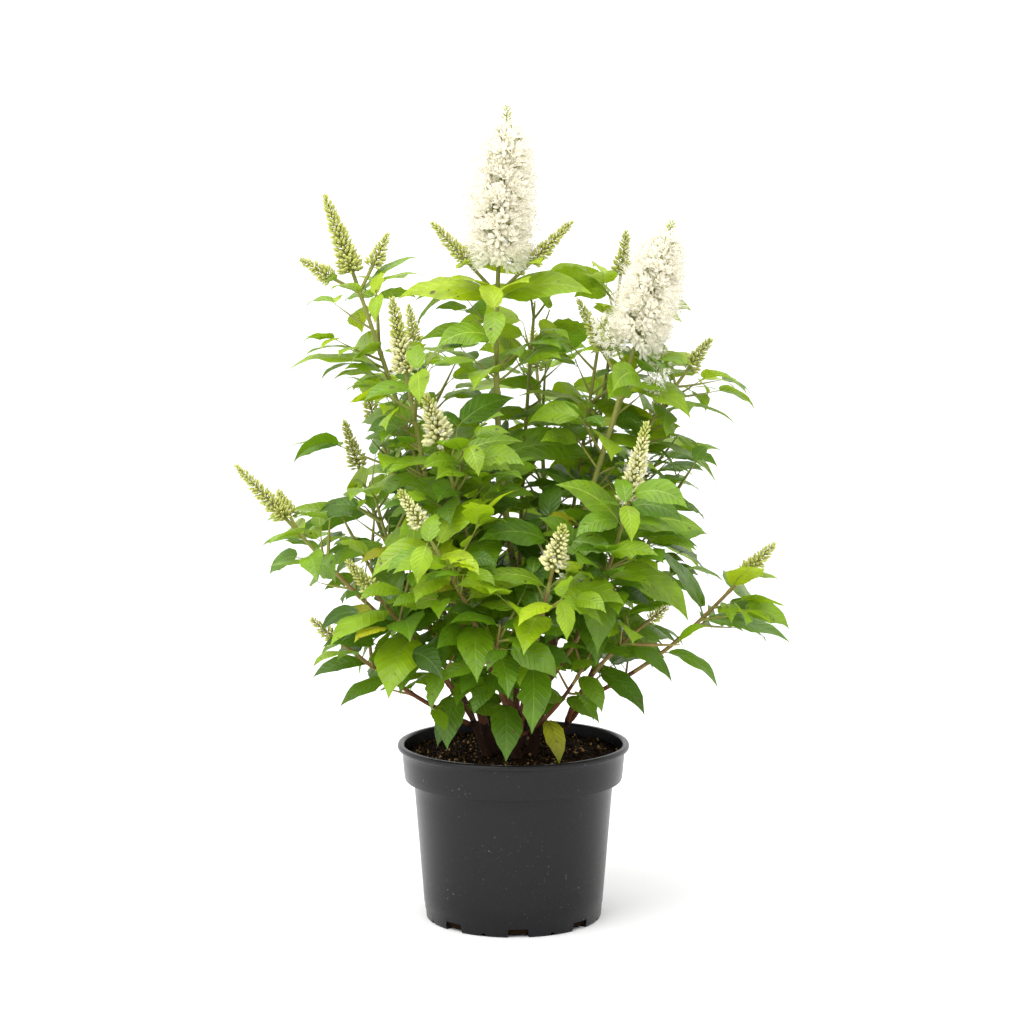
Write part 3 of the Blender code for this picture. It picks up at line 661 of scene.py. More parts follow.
# %% Grow the canes and boughs
lip_z = POT_HEIGHT - LIP_HEIGHT
pot_room = [
    (0, 0), (FOOT_R, 0), (BODY_TOP_R, COLLAR_Z), (COLLAR_FOOT_R, COLLAR_Z),
    (COLLAR_TOP_R, lip_z), (LIP_R, lip_z + 0.0008), (LIP_R, POT_HEIGHT - 0.0012),
    (LIP_R - 0.0012, POT_HEIGHT), (COLLAR_TOP_R - WALL, POT_HEIGHT),
    (COLLAR_FOOT_R - WALL, COLLAR_Z + WALL), (BODY_TOP_R - WALL, COLLAR_Z + WALL),
    (FOOT_R - WALL, FLOOR), (0, FLOOR),
]
body_in = BODY_TOP_R - WALL - GAP
collar_in = COLLAR_FOOT_R - WALL - GAP
rise = (SOIL_EDGE_Z - COLLAR_Z) / (POT_HEIGHT - COLLAR_Z)
soil_room = [
    (0, FLOOR + GAP), (FOOT_R - WALL - 2 * GAP, FLOOR + GAP), (body_in - GAP, COLLAR_Z - 0.001),
    (body_in - GAP, COLLAR_Z + WALL + GAP), (collar_in, COLLAR_Z + WALL + GAP),
    (collar_in + rise * (COLLAR_TOP_R - COLLAR_FOOT_R) - GAP, SOIL_EDGE_Z),
    (SOIL_MID_R, SOIL_MID_Z), (0, SOIL_MID_Z),
]
space = Space()
space.add(revolve(pot_room, ROOM_SIDES))
space.add(revolve(soil_room, ROOM_SIDES))
stems = {}


def beside(parent, s, target):
    """A start on a limb's side that faces a target, its heading and its cut."""
    point, along = parent.place(s)
    facing = target - point
    facing = (facing - along * facing.dot(along)).normalized()
    start = point + facing * (parent.girth(s) + GAP)
    return start, (facing * 0.70 + along * 0.70).normalized(), facing


for name, (bearing, reach, tip, girth) in CANES.items():
    foot = polar(bearing, reach, SOIL_MID_Z + GAP)
    lean = Vector((tip[0] - foot.x, tip[1] - foot.y, 0)) * 1.2
    stems[name] = Stem(foot, (UP * 0.12 + lean).normalized(), Vector(tip), CANE_FOOT_R * girth,
                       CANE_TIP_R * girth, cut=UP)
for name, (parent, at, tip) in BOUGHS.items():
    carrier = stems[parent]
    start, heading, cut = beside(carrier, carrier.length * at, Vector(tip))
    stems[name] = Stem(start, heading, Vector(tip), BOUGH_FOOT_R, BOUGH_TIP_R, cut=cut)
for limb in stems.values():
    space.add(tube(limb, 6, 6, extra=0.0006))
limb_names = list(stems)
print("limbs", len(stems), "metres of wood", round(sum(limb.length for limb in stems.values()), 2))

# %% [markdown]
# Each shoot goes on from its limb. From the flower down it carries crossed pairs of leaves, the newest
# pair smallest, and short twigs in some of the leaf joints. A few shoots hang in a gentle bow under
# their own weight. The places are only noted here, as jobs, because the top leaves of all shoots are
# set before the lower ones.

# %% Grow the shoots
BOWS = {"centre_bloom": (-0.016, 0.0, 0.0), "right_bloom": (0.008, 0.0, 0.0),
        "far_left": (-0.009, 0.0, -0.022), "far_right": (0.010, 0.0, -0.008),
        "tall_left": (-0.007, 0.0, 0.0)}
rng = random.Random(SEED)
spikes = []
twigs = []
leaf_jobs = []
for name, sprig in SPRIGS.items():
    carrier = stems[sprig.on]
    if sprig.at >= 1.0:
        point, heading = carrier.place(carrier.length)
        start, girth, cut = point + heading * GAP, carrier.tip_radius, None
    else:
        start, heading, cut = beside(carrier, carrier.length * sprig.at, sprig.tip)
        girth = SPRIG_FOOT_R
    stem = Stem(start, heading, sprig.tip, girth, SPRIG_TIP_R, cut, bow=BOWS.get(name, (0, 0, 0)))
    stems[name] = stem
    top = stem.length - sprig.spike
    if sprig.flower == "bloom":
        space.add(plume(stem, top, stem.length, sprig.width, 8, BLOOM_PROFILE, extra=0.0006))
    elif sprig.flower == "bud":
        space.add(plume(stem, top, stem.length, sprig.width, 5, BUD_PROFILE, extra=0.0006))
    if sprig.flower:
        spikes.append((name, sprig.flower, stem, top, stem.length, sprig.width))
    space.add(tube(stem, 6, 7, extra=0.0006))

    first = top - sprig.neck
    step = (first - 0.012) / max(sprig.pairs - 0.5, 1)
    for k in range(sprig.pairs):
        s = first - step * k
        point, along = stem.place(s)
        level = polar(sprig.turn + rng.uniform(-9, 9), 1.0)
        level = (level - along * level.dot(along)).normalized()
        if k % 2:
            level = along.cross(level)
        for which, hand in enumerate((level, -level)):
            seat = s + PAIR_STEP * (which - 0.5)
            lean = math.radians(rng.uniform(24, 40) - 5 * k)
            size = sprig.leaf * (0.90 if k == 0 else 1.0) * rng.uniform(0.90, 1.08)
            leaf_jobs.append((k, name, seat, hand, lean, size))

        twig_ends = []
        if k == 0 and sprig.side_spikes:
            twig_ends = [(level, "bud"), (-level, "bud")][:sprig.side_spikes]
        elif 1 <= k <= sprig.twigs:
            twig_ends = [((level, -level)[k % 2], None)]
        for hand, flower in twig_ends:
            heading = (hand * 0.72 + along * 0.70).normalized()
            length = rng.uniform(0.050, 0.060) * (1.45 if sprig.flower == "bloom" else 1.0)
            end = point + heading * length + UP * 0.006
            twig = Stem(point + along * 0.003, heading, end, TWIG_R, SPRIG_TIP_R)
            if not space.free(tube(twig, 5, 3, extra=0.0009, start=0.007)):
                continue
            twigs.append((name, twig))
            space.add(tube(twig, 5, 3, extra=0.0006))
            if flower:
                spikes.append((name, "side", twig, length * 0.45, length, 0.013))
                space.add(plume(twig, length * 0.45, length, 0.013, 5, SMALL_PROFILE, extra=0.0006))
            for n, part in enumerate((0.40,) if flower else (0.55, 0.96)):
                spot, way = twig.place(twig.length * part)
                flat = (UP.cross(way) if n == 0 else UP - way * UP.dot(way)).normalized()
                for which, palm in enumerate((flat, -flat)):
                    seat = (twig, twig.length * part + 0.0016 * (which - 0.5))
                    size = sprig.leaf * (0.36 if flower else 0.62 - 0.12 * n)
                    leaf_jobs.append((k + 0.5 + n, name, seat, palm, math.radians(30), size))
print("shoots", len(SPRIGS), "twigs", len(twigs), "spikes", len(spikes), "leaf places", len(leaf_jobs))

# %% [markdown]
# A leaf turns its face to the light. Those that point along the shrub's outline roll outwards, and those
# on the flanks roll to the front or the back, whichever is nearer, so from any side most leaves show
# their upper face rather than their edge. Light also comes through between the boughs, where real
# shrubs stay open; each of those gaps is given as an ellipse seen from the front, and what would hang
# in one is left out.

# %% How leaves meet the light
ROLL_SCATTER = math.radians(20)
EYE_HEIGHT = 0.56
EYE_AWAY = 2.0

# Each gap: how far right and how high its middle is seen, and its half width and half height
LIGHT_GAPS = (
    (-0.063, 0.486, 0.022, 0.012), (0.010, 0.488, 0.016, 0.018), (0.050, 0.497, 0.018, 0.013),
    (0.048, 0.446, 0.024, 0.013), (-0.108, 0.457, 0.009, 0.012), (-0.046, 0.418, 0.013, 0.010),
    (-0.136, 0.410, 0.022, 0.016), (-0.150, 0.352, 0.016, 0.012), (-0.162, 0.257, 0.026, 0.014),
    (-0.140, 0.182, 0.032, 0.030), (-0.090, 0.160, 0.026, 0.022), (0.106, 0.184, 0.036, 0.028),
    (0.196, 0.330, 0.018, 0.014), (0.168, 0.410, 0.016, 0.026), (0.168, 0.362, 0.018, 0.012),
    (0.168, 0.226, 0.024, 0.014), (-0.176, 0.300, 0.012, 0.010), (0.140, 0.470, 0.014, 0.012),
    (0.138, 0.196, 0.026, 0.022), (-0.121, 0.324, 0.022, 0.016), (-0.080, 0.500, 0.016, 0.010),
    (0.196, 0.216, 0.024, 0.014), (-0.160, 0.491, 0.024, 0.012), (-0.054, 0.443, 0.020, 0.014),
    (-0.039, 0.406, 0.016, 0.012), (-0.184, 0.262, 0.027, 0.022), (-0.124, 0.380, 0.018, 0.020),
    (0.186, 0.350, 0.016, 0.012),
)


def to_light(leaf, scatter):
    """The roll that turns a leaf's upper face out of the crown."""
    away = Vector((leaf.root.x * 0.55, leaf.root.y - 0.012, 0)).normalized()
    return -leaf.side.dot(away) * TILT_OUT + scatter * ROLL_SCATTER


def in_gap(point):
    """Whether a point is seen in one of the gaps by an eye before the shrub."""
    near = EYE_AWAY / (EYE_AWAY + point.y)
    x, z = point.x * near, EYE_HEIGHT + (point.z - EYE_HEIGHT) * near
    return any(((x - gx) / w) ** 2 + ((z - gz) / h) ** 2 < 1 for gx, gz, w, h in LIGHT_GAPS)


def blocks_light(leaf):
    """Whether a leaf hangs in a gap with half of its blade or more."""
    return sum(in_gap(leaf.station(t)[0]) for t in (0.35, 0.55, 0.75, 0.95)) >= 2


# %% [markdown]
# A leaf that would touch something is turned a little, made a little shorter and tried again. After
# nine tries its place is left bare, as a real shoot drops a leaf that gets no light. A dozen leaves that
# stand out from the rest in the shrub's outline are listed and set first.

# %% Grow the leaves
# Each: the shoot, the height of the leaf's foot, bearing, lift, droop and length
LONG_LEAVES = (
    ("centre_bloom", 0.505, 185, 26, 48, 0.086), ("centre_bloom", 0.505, 356, 28, 44, 0.082),
    ("centre_bloom", 0.462, 178, 24, 46, 0.066), ("tall_left", 0.450, 182, 32, 60, 0.090),
    ("far_right", 0.250, 352, 2, 28, 0.078), ("upper_right", 0.410, 352, 28, 64, 0.072),
    ("low_right", 0.214, 335, -20, 34, 0.056), ("low_right", 0.236, 345, -8, 52, 0.054),
    ("low_left", 0.206, 200, -8, 36, 0.048), ("low_left", 0.216, 186, 10, 40, 0.050),
    ("far_left", 0.318, 190, 18, 48, 0.038), ("front_centre", 0.262, 256, 6, 52, 0.066),
    ("far_right", 0.226, 344, 0, 60, 0.058), ("upper_right", 0.366, 352, 24, 56, 0.062),
)
leaves = []
topmost = {}
flowering = {stem for _, _, stem, _, _, _ in spikes}
for name, height, bearing, lift, droop, length in LONG_LEAVES:
    stem = stems[name]
    root = min(stem.points, key=lambda point: abs(point.z - height)).copy()
    leaf = Leaf(root, math.radians(bearing), math.radians(lift), math.radians(droop), length, 0)
    leaf.roll = to_light(leaf, 0.0)
    space.add(leaf.shell())
    leaves.append((leaf, name, 1))
ZONE_SIZE = {"skirt_left": 0.84, "skirt_right": 0.84, "skirt_front": 0.86, "low_left": 0.86,
             "low_right": 0.84, "centre_bloom": 0.98}
for rank, name, seat, hand, lean, size in sorted(leaf_jobs, key=lambda job: job[0]):
    sprig = SPRIGS[name]
    stem, s = seat if isinstance(seat, tuple) else (stems[name], seat)
    root, along = stem.place(s)
    for attempt in range(TRIES):
        swing = math.radians(rng.uniform(-1, 1) * 11 * attempt)
        facing = hand * math.cos(swing) + along.cross(hand) * math.sin(swing)
        way = facing * math.cos(lean) + along * math.sin(lean)
        lift = math.asin(max(-0.9, min(0.9, way.z)))
        droop = math.radians(sprig.droop + rng.uniform(-12, 12) + 6 * rank)
        droop = max(min(droop, lift + math.radians(82)), math.radians(12))
        length = LEAF_LENGTH * size * ZONE_SIZE.get(name, 0.92) * (1 - 0.045 * attempt)
        leaf = Leaf(root, math.atan2(way.y, way.x), lift, droop, length, 0, size < SMALL_LEAF)
        leaf.roll = to_light(leaf, rng.uniform(-1, 1))
        if space.free(leaf.shell(CLEAR_FROM / length, CLEARANCE)):
            if not blocks_light(leaf):
                space.add(leaf.shell())
                leaves.append((leaf, name, rank))
                topmost[stem] = max(topmost.get(stem, 0.0), s)
            break
twigs = [(name, twig) for name, twig in twigs if twig in topmost or twig in flowering]
print("leaves", len(leaves), "of", len(leaf_jobs), "places")

# %% [markdown]
# The solids stop at the leaves that show from a step away. Here the growth goes on to finer twigs, each
# with two pairs of smaller leaves and one at its tip, wherever a limb has light and room beside it. The
# same tests for room and for light are made, so the gaps stay open and the outline stays loose.

# %% Grow the finer twigs
FINE_TRIES = 2200
FINE_FROM = 0.19
FINE_WITHIN = 0.165
FINE_LENGTH = (0.022, 0.046)
FINE_LEAF = (0.34, 0.68)
FINE_CLEARANCE = 0.0004
fine = random.Random(SEED + 9)
box_low = [min(leaf.station(1.0)[0][i] for leaf, _, _ in leaves) for i in range(3)]
box_high = [max(leaf.station(1.0)[0][i] for leaf, _, _ in leaves) for i in range(3)]
fine_count = 0
limbs = list(stems)


def inside(point):
    """Whether a point is within the reach of the leaves that are set."""
    return all(low < x < high for low, x, high in zip(box_low, point, box_high))


for attempt in range(FINE_TRIES):
    name = fine.choice(limbs)
    limb = stems[name]
    sprig = SPRIGS.get(name)
    top = limb.length - (sprig.spike + 0.012 if sprig else 0)
    point, along = limb.place(fine.uniform(0.15, 1.0) * top)
    if point.z < FINE_FROM or abs(point.x) > FINE_WITHIN or fine.random() > 0.25 + 1.2 * (point.z - 0.15):
        continue
    hand = polar(fine.uniform(0, 360), 1.0)
    hand = (hand - along * hand.dot(along)).normalized()
    heading = (hand * 0.80 + along * 0.45 + UP * 0.1).normalized()
    length = fine.uniform(*FINE_LENGTH)
    twig = Stem(point, heading, point + heading * length + UP * 0.004, 0.0011, 0.0007)
    if not inside(twig.points[-1]) or not space.free(tube(twig, 4, 2, extra=0.0004, start=0.006)):
        continue
    grown_leaves = []
    flat = UP.cross(heading).normalized()
    for part, palm in ((0.55, flat), (0.55, -flat), (0.97, flat), (0.97, -flat), (1.0, heading)):
        spot, way = twig.place(twig.length * part)
        lean = math.radians(fine.uniform(30, 52))
        facing = (palm * math.cos(lean) + way * math.sin(lean)).normalized()
        lift = math.asin(max(-0.9, min(0.9, facing.z)))
        droop = math.radians(fine.uniform(30, 66))
        size = LEAF_LENGTH * fine.uniform(*FINE_LEAF)
        leaf = Leaf(spot, math.atan2(facing.y, facing.x), lift, droop, size, 0, True)
        leaf.roll = to_light(leaf, fine.uniform(-1.4, 1.4))
        if (inside(leaf.station(1.0)[0]) and not blocks_light(leaf)
                and space.free(leaf.shell(CLEAR_FROM / size, FINE_CLEARANCE))):
            space.add(leaf.shell())
            grown_leaves.append(leaf)
    if grown_leaves:
        space.add(tube(twig, 4, 2, extra=0.0004))
        twigs.append((name, twig))
        topmost[twig] = max((leaf.root - point).length for leaf in grown_leaves)
        home = name if name in SPRIGS else "front_inner"
        leaves += [(leaf, home, 2.5) for leaf in grown_leaves]
        fine_count += len(grown_leaves)
print("leaves on finer twigs", fine_count)

# %% [markdown]
# ## Trees of Geometry Nodes
# What follows is made of a few shapes repeated by a rule, which is what Geometry Nodes are for. Every
# tree takes its sizes as named inputs and ends in realized instances with their materials set. The
# result is copied to a plain mesh and the tree is let go.

# %% Helpers that start and run a tree
def growth_tree(name, sizes):
    """An empty tree with geometry in and out and a named input for each size; returns its wiring."""
    tree = bpy.data.node_groups.new(name, "GeometryNodeTree")
    tree.interface.new_socket("Geometry", in_out="INPUT", socket_type="NodeSocketGeometry")
    tree.interface.new_socket("Geometry", in_out="OUTPUT", socket_type="NodeSocketGeometry")
    for label, (kind, value) in sizes.items():
        socket = tree.interface.new_socket(label, in_out="INPUT", socket_type="NodeSocket" + kind)
        if value is not None:
            socket.default_value = value
    add = Wiring(tree)
    return add, add("NodeGroupInput").outputs, add("NodeGroupOutput")


def end_tree(add, end, geometry, dressing):
    """Realizes the instances, then sets each material on the faces that its mask picks."""
    made = add("GeometryNodeRealizeInstances", {0: geometry}).outputs[0]
    for mask, material in dressing:
        inputs = {"Geometry": made, "Material": material}
        if mask is not None:
            inputs["Selection"] = mask
        made = add("GeometryNodeSetMaterial", inputs).outputs[0]
    made = add("GeometryNodeSetShadeSmooth", {"Geometry": made}).outputs[0]
    add.tree.links.new(made, end.inputs[0])


def grown(name, source, tree, sizes):
    """Runs a tree on an object and keeps what it makes as a plain mesh object."""
    step = source.modifiers.new(tree.name, "NODES")
    step.node_group = tree
    for socket in tree.interface.items_tree:
        if socket.in_out == "INPUT" and socket.name in sizes:
            step[socket.identifier] = sizes[socket.name]
    graph = bpy.context.evaluated_depsgraph_get()
    mesh = bpy.data.meshes.new_from_object(source.evaluated_get(graph))
    bpy.data.objects.remove(source)
    mesh.name = name
    piece = bpy.data.objects.new(name, mesh)
    bpy.context.scene.collection.objects.link(piece)
    print(name, "faces", len(mesh.polygons))
    return piece


def carry(mesh, values):
    """Stores lists of numbers on a mesh's points, where a tree can read them by name."""
    for key, column in values.items():
        if isinstance(column[0], Vector):
            layer = mesh.attributes.new(key, "FLOAT_VECTOR", "POINT")
            layer.data.foreach_set("vector", [x for v in column for x in v])
        else:
            kind = "INT" if isinstance(column[0], int) else "FLOAT"
            mesh.attributes.new(key, kind, "POINT").data.foreach_set("value", column)


def strands(name, lines):
    """Loose polylines, each a list of (point, values), as an object for a tree to work on."""
    points = [point for line in lines for point, _ in line]
    edges, n = [], 0
    for line in lines:
        edges += [(n + i, n + i + 1) for i in range(len(line) - 1)]
        n += len(line)
    mesh = bpy.data.meshes.new(name)
    mesh.from_pydata(points, edges, [])
    carry(mesh, {key: [values[key] for line in lines for _, values in line] for key in lines[0][0][1]})
    made = bpy.data.objects.new(name, mesh)
    bpy.context.scene.collection.objects.link(made)
    return made


# %% [markdown]
# ## Wood
# The canes are grown over with flaking bark, dark and red-brown near the compost, while this year's
# shoots are smooth and tan-green with a swollen joint at each pair of leaves. A round profile swept
# along each line gives the limb, and a noise pushes its skin in and out for the bark. That is real
# relief, which a bump alone would not show at the edge of a cane.

# %% The finishes of the wood
bark_low = finish("bark_low", (0.026, 0.010, 0.005), 0.80, grain=700, relief=0.0006, mottle=0.35,
                  gloss=0.15, stretch=(1, 1, 0.3))[0]
bark_red = finish("bark_red", (0.100, 0.036, 0.014), 0.66, grain=800, relief=0.0004, mottle=0.30,
                  gloss=0.20, stretch=(1, 1, 0.3))[0]
bark_tan = finish("bark_tan", (0.210, 0.145, 0.042), 0.56, grain=900, relief=0.0002, mottle=0.22,
                  gloss=0.25, stretch=(1, 1, 0.3))[0]
shoot_green = finish("shoot_green", (0.215, 0.220, 0.045), 0.50, grain=900, relief=0.00015, mottle=0.16,
                     gloss=0.25, stretch=(1, 1, 0.3))[0]

# %% The tree that sweeps and roughens a limb
add, sizes, end = growth_tree("limb_tree", {
    "Sides": ("Int", 10), "Relief": ("Float", 0.0003), "Relief scale": ("Float", 260.0),
    "Low bark": ("Material", None), "Red bark": ("Material", None), "Tan bark": ("Material", None),
    "Green skin": ("Material", None)})
line = add("GeometryNodeMeshToCurve", {0: sizes["Geometry"]}).outputs[0]
ring = add("GeometryNodeCurvePrimitiveCircle", {"Resolution": sizes["Sides"], "Radius": 1.0}).outputs[0]
skin = add("GeometryNodeCurveToMesh", {"Curve": line, "Profile Curve": ring, "Scale": add.read("girth"),
                                       "Fill Caps": True}).outputs[0]
place = add("GeometryNodeInputPosition").outputs[0]
along = add.vector("MULTIPLY", place, (1.0, 1.0, 0.22))
lumps = add.between(add.noise(along, sizes["Relief scale"], 3.0), -1.0, 1.0, 0.2, 0.8)
push = add.math("MULTIPLY", add.math("MULTIPLY", lumps, sizes["Relief"]), add.read("rough"))
outwards = add("GeometryNodeInputNormal").outputs[0]
skin = add("GeometryNodeSetPosition", {"Geometry": skin, "Offset": add.scaled(outwards, push)}).outputs[0]
tone = add.math("ADD", add.read("tone"), add.between(add.noise(place, 90.0), -0.25, 0.25, 0.3, 0.7))
end_tree(add, end, skin, [
    (None, sizes["Low bark"]), (add.math("GREATER_THAN", tone, 0.5), sizes["Red bark"]),
    (add.math("GREATER_THAN", tone, 1.5), sizes["Tan bark"]),
    (add.math("GREATER_THAN", tone, 2.5), sizes["Green skin"])])
limb_tree = add.tree

# %% [markdown]
# Each limb is written down as a line of points that carry three numbers: its girth, how rough its skin
# is, and its tone, which picks the bark. The tone rises with height, because the wood low down is the
# oldest, and twigs are younger than the limb they stand on. A foot is sunk into its carrier, and a stem
# ends at its last leaf.

# %% Sweep the canes, the boughs and the shoots
LIMB_STEP = 0.0020
JOINT_SWELL = 0.30
JOINT_HALF = 0.0018
TONE_HEIGHTS = ((0.137, 0.0), (0.158, 0.35), (0.190, 1.0), (0.255, 1.9), (0.330, 2.6), (0.440, 3.0),
                (0.700, 3.0))


def along_table(x, table):
    """The value at x in a table of (x, value) rows, in straight steps."""
    for (x0, y0), (x1, y1) in zip(table, table[1:]):
        if x <= x1:
            return y0 + (y1 - y0) * min(max((x - x0) / (x1 - x0), 0), 1)
    return table[-1][1]


def limb_line(limb, foot_in, end, flare=0.0, joints=(), rough=1.0, thin_from=None, youth=0.0):
    """A limb as a line of points with their girth; its foot is sunk in, and it thins inside a spike."""
    start, along = limb.place(0)
    toward = -along if limb.cut is None else -limb.cut
    line = [(start + toward * foot_in, {"girth": limb.girth(0) * (1 + flare), "rough": rough,
                                        "tone": along_table(start.z, TONE_HEIGHTS) + youth})]
    count = max(int(end / LIMB_STEP), 2)
    for i in range(count + 1):
        s = end * i / count
        point = limb.place(s)[0]
        swell = sum(math.exp(-((s - joint) / JOINT_HALF) ** 2) for joint in joints)
        grow = 1 + flare * math.exp(-s / 0.006) + JOINT_SWELL * min(swell, 1.0)
        if thin_from is not None and s > thin_from:
            grow *= 1 - 0.62 * (s - thin_from) / max(end - thin_from, 0.001)
        line.append((point, {"girth": limb.girth(s) * grow, "rough": rough,
                             "tone": along_table(point.z, TONE_HEIGHTS) + youth}))
    return line


cane_lines = [limb_line(stems[name], 0.004, stems[name].length, flare=0.45) for name in CANES]
bough_lines = [limb_line(stems[name], 0.0028, stems[name].length, joints=[0.02, 0.05]) for name in BOUGHS]
shoot_lines = []
for name, sprig in SPRIGS.items():
    stem = stems[name]
    first = stem.length - sprig.spike - sprig.neck
    step = (first - 0.012) / max(sprig.pairs - 0.5, 1)
    joints = [first - step * k for k in range(sprig.pairs)]
    end = stem.length - 0.03 * sprig.spike if sprig.flower else topmost.get(stem, 0.03) + 0.003
    shoot_lines.append(limb_line(stem, 0.0022, end, joints=joints, rough=0.25, youth=0.2,
                                 thin_from=stem.length - sprig.spike if sprig.flower else end - 0.014))
side_starts = {stem: start for _, kind, stem, start, _, _ in spikes if kind == "side"}
for name, twig in twigs:
    end = twig.length * 0.985 if twig in side_starts else min(topmost[twig] + 0.002, twig.length)
    shoot_lines.append(limb_line(twig, 0.001, end, rough=0.2, youth=0.8,
                                 thin_from=side_starts.get(twig, end * 0.5)))
wood = {"Low bark": bark_low, "Red bark": bark_red, "Tan bark": bark_tan, "Green skin": shoot_green}
canes = grown("canes_in_bark", strands("cane_lines", cane_lines), limb_tree,
              {**wood, "Sides": 14, "Relief": 0.00075})
boughs = grown("boughs_in_bark", strands("bough_lines", bough_lines), limb_tree,
               {**wood, "Sides": 12, "Relief": 0.00040})
shoots = grown("shoot_stems", strands("shoot_lines", shoot_lines), limb_tree,
               {**wood, "Sides": 8, "Relief": 0.00025})

# %% [markdown]
# ## Leaves
# A clethra leaf is an egg-shaped blade with a drawn-out tip, a pale rib and a short stalk. One leaf is
# modelled flat in a few dozen faces, in four cuts that differ in width and edge. Its map holds the
# flat place of each corner, so the veins know where they are after the leaf is bent.

# %% Cut the flat leaves
CUT_ROWS = (0.0, 0.035, 0.10, 0.19, 0.29, 0.40, 0.51, 0.62, 0.72, 0.82, 0.92, 1.0)
CUTS = {"full": (1.0, 0.72), "slim": (0.86, 0.80), "broad": (1.10, 0.68), "torn": (1.0, 0.74)}
TOOTH = 0.032
RIB_HALF = 0.0085
BLADE, RIB, STALK = 0, 1, 2


def blade_reach(b, shift):
    """How far the blade reaches at part b of its length: round at the foot, drawn out at the tip."""
    return math.sin(math.pi * max(b, 0.012) ** shift) ** (0.60 + 0.75 * b)


def flat_leaf(name, width, shift, torn=False):
    """One leaf laid flat along +Y with a length of 1: a stalk prism, two blade halves and a rib strip."""
    half = LEAF_WIDTH / 2
    rows = []
    for i, b in enumerate(CUT_ROWS[:-1]):
        reach = half * width * blade_reach(b, shift) * (1 + TOOTH * (-1) ** i)
        rib = RIB_HALF * (1 - 0.75 * b)
        left, right = reach, reach
        if torn and i in (5, 7):
            left *= 0.72
        t = STALK_TO + (1 - STALK_TO) * b
        rows.append([(-left, t), (-(left * 0.52 + rib * 0.5), t), (-rib, t), (rib, t),
                     (right * 0.52 + rib * 0.5, t), (right, t)])
    verts = [(x, y, 0.0) for row in rows for x, y in row] + [(0.0, 1.0, 0.0)]
    tip = len(verts) - 1
    faces, parts = [], []
    for r in range(len(rows) - 1):
        for c in range(5):
            a = r * 6 + c
            faces.append((a, a + 1, a + 7, a + 6))
            parts.append(RIB if c == 2 else BLADE)
    for c in range(5):
        a = (len(rows) - 1) * 6 + c
        faces.append((a, a + 1, tip))
        parts.append(RIB if c == 2 else BLADE)
    low = len(verts)
    for t in (0.0, STALK_TO + 0.03):
        verts += [(-0.0078, t, 0.003), (0.0078, t, 0.003), (0.0, t, -0.010)]
    for c in range(3):
        n = (c + 1) % 3
        faces.append((low + c, low + n, low + 3 + n, low + 3 + c))
        parts.append(STALK)
    mesh = bpy.data.meshes.new(name)
    mesh.from_pydata(verts, [], faces)
    mesh.attributes.new("part", "INT", "FACE").data.foreach_set("value", parts)
    carry(mesh, {"flat": [Vector(v) for v in verts]})
    chart = mesh.uv_layers.new(name="leaf_map")
    for loop in mesh.loops:
        chart.data[loop.index].uv = verts[loop.vertex_index][:2]
    return bpy.data.objects.new(name, mesh)


leaf_cuts = bpy.data.collections.new("leaf_cuts")
for place, (name, (width, shift)) in enumerate(CUTS.items()):
    leaf_cuts.objects.link(flat_leaf("cut_%d_%s" % (place, name), width, shift, name == "torn"))

# %% [markdown]
# The tree below sets a flat leaf on each leaf's place and then bends it. It reads the leaf's lift,
# droop, length and roll, works out the arc of the midrib, and lays each corner of the blade beside it:
# folded up from the rib, turned down again at the edge, with a slow wave. No two leaves come out alike
# from the four cuts.

# %% The tree that sets and bends the leaves
add, sizes, end = growth_tree("leaf_tree", {
    "Cuts": ("Collection", None), "Edge curl": ("Float", 1.1), "Waves": ("Float", 2.3),
    "Tint 1": ("Material", None), "Tint 2": ("Material", None), "Tint 3": ("Material", None),
    "Spent": ("Material", None), "Rib": ("Material", None)})
cuts = add("GeometryNodeCollectionInfo", {"Collection": sizes["Cuts"], "Separate Children": True,
                                          "Reset Children": True}).outputs[0]
placed = add("GeometryNodeInstanceOnPoints", {
    "Points": sizes["Geometry"], "Instance": cuts, "Pick Instance": True,
    "Instance Index": add.read("cut", "INT")}).outputs[0]
real = add("GeometryNodeRealizeInstances", {0: placed}).outputs[0]
flat = add("ShaderNodeSeparateXYZ", {0: add.read("flat", "FLOAT_VECTOR")}).outputs
x, t = flat[0], flat[1]
lift, droop, bearing = add.read("lift"), add.read("droop"), add.read("bearing")
angle = add.math("SUBTRACT", lift, add.math("MULTIPLY", droop, t))
arc = add.math("DIVIDE", add.read("length"), droop)
run = add.math("MULTIPLY", arc, add.math("SUBTRACT", add.math("SINE", lift), add.math("SINE", angle)))
rise = add.math("MULTIPLY", arc, add.math("SUBTRACT", add.math("COSINE", angle), add.math("COSINE", lift)))
cos_b, sin_b = add.math("COSINE", bearing), add.math("SINE", bearing)
out = add("ShaderNodeCombineXYZ", {0: cos_b, 1: sin_b}).outputs[0]
beside_it = add("ShaderNodeCombineXYZ", {0: add.math("MULTIPLY", sin_b, -1.0), 1: cos_b}).outputs[0]
up = (0.0, 0.0, 1.0)
face_up = add.blend(up, add.math("COSINE", angle), out, add.math("MULTIPLY", add.math("SINE", angle), -1.0))
roll = add.math("ADD", add.read("roll"), add.math("MULTIPLY", add.read("twist"), t))
cos_r, sin_r = add.math("COSINE", roll), add.math("SINE", roll)
side = add.blend(beside_it, cos_r, face_up, sin_r)
normal = add.blend(face_up, cos_r, beside_it, add.math("MULTIPLY", sin_r, -1.0))
size = add.read("length")
wide = add.math("MULTIPLY", x, add.read("broad"))
off = add.math("ABSOLUTE", wide)
fold = add.read("fold")
sway = add.math("MULTIPLY", add.read("sickle"), add.math("POWER", t, 2.0))
across = add.math("ADD", add.math("MULTIPLY", wide, add.math("COSINE", fold)), sway)
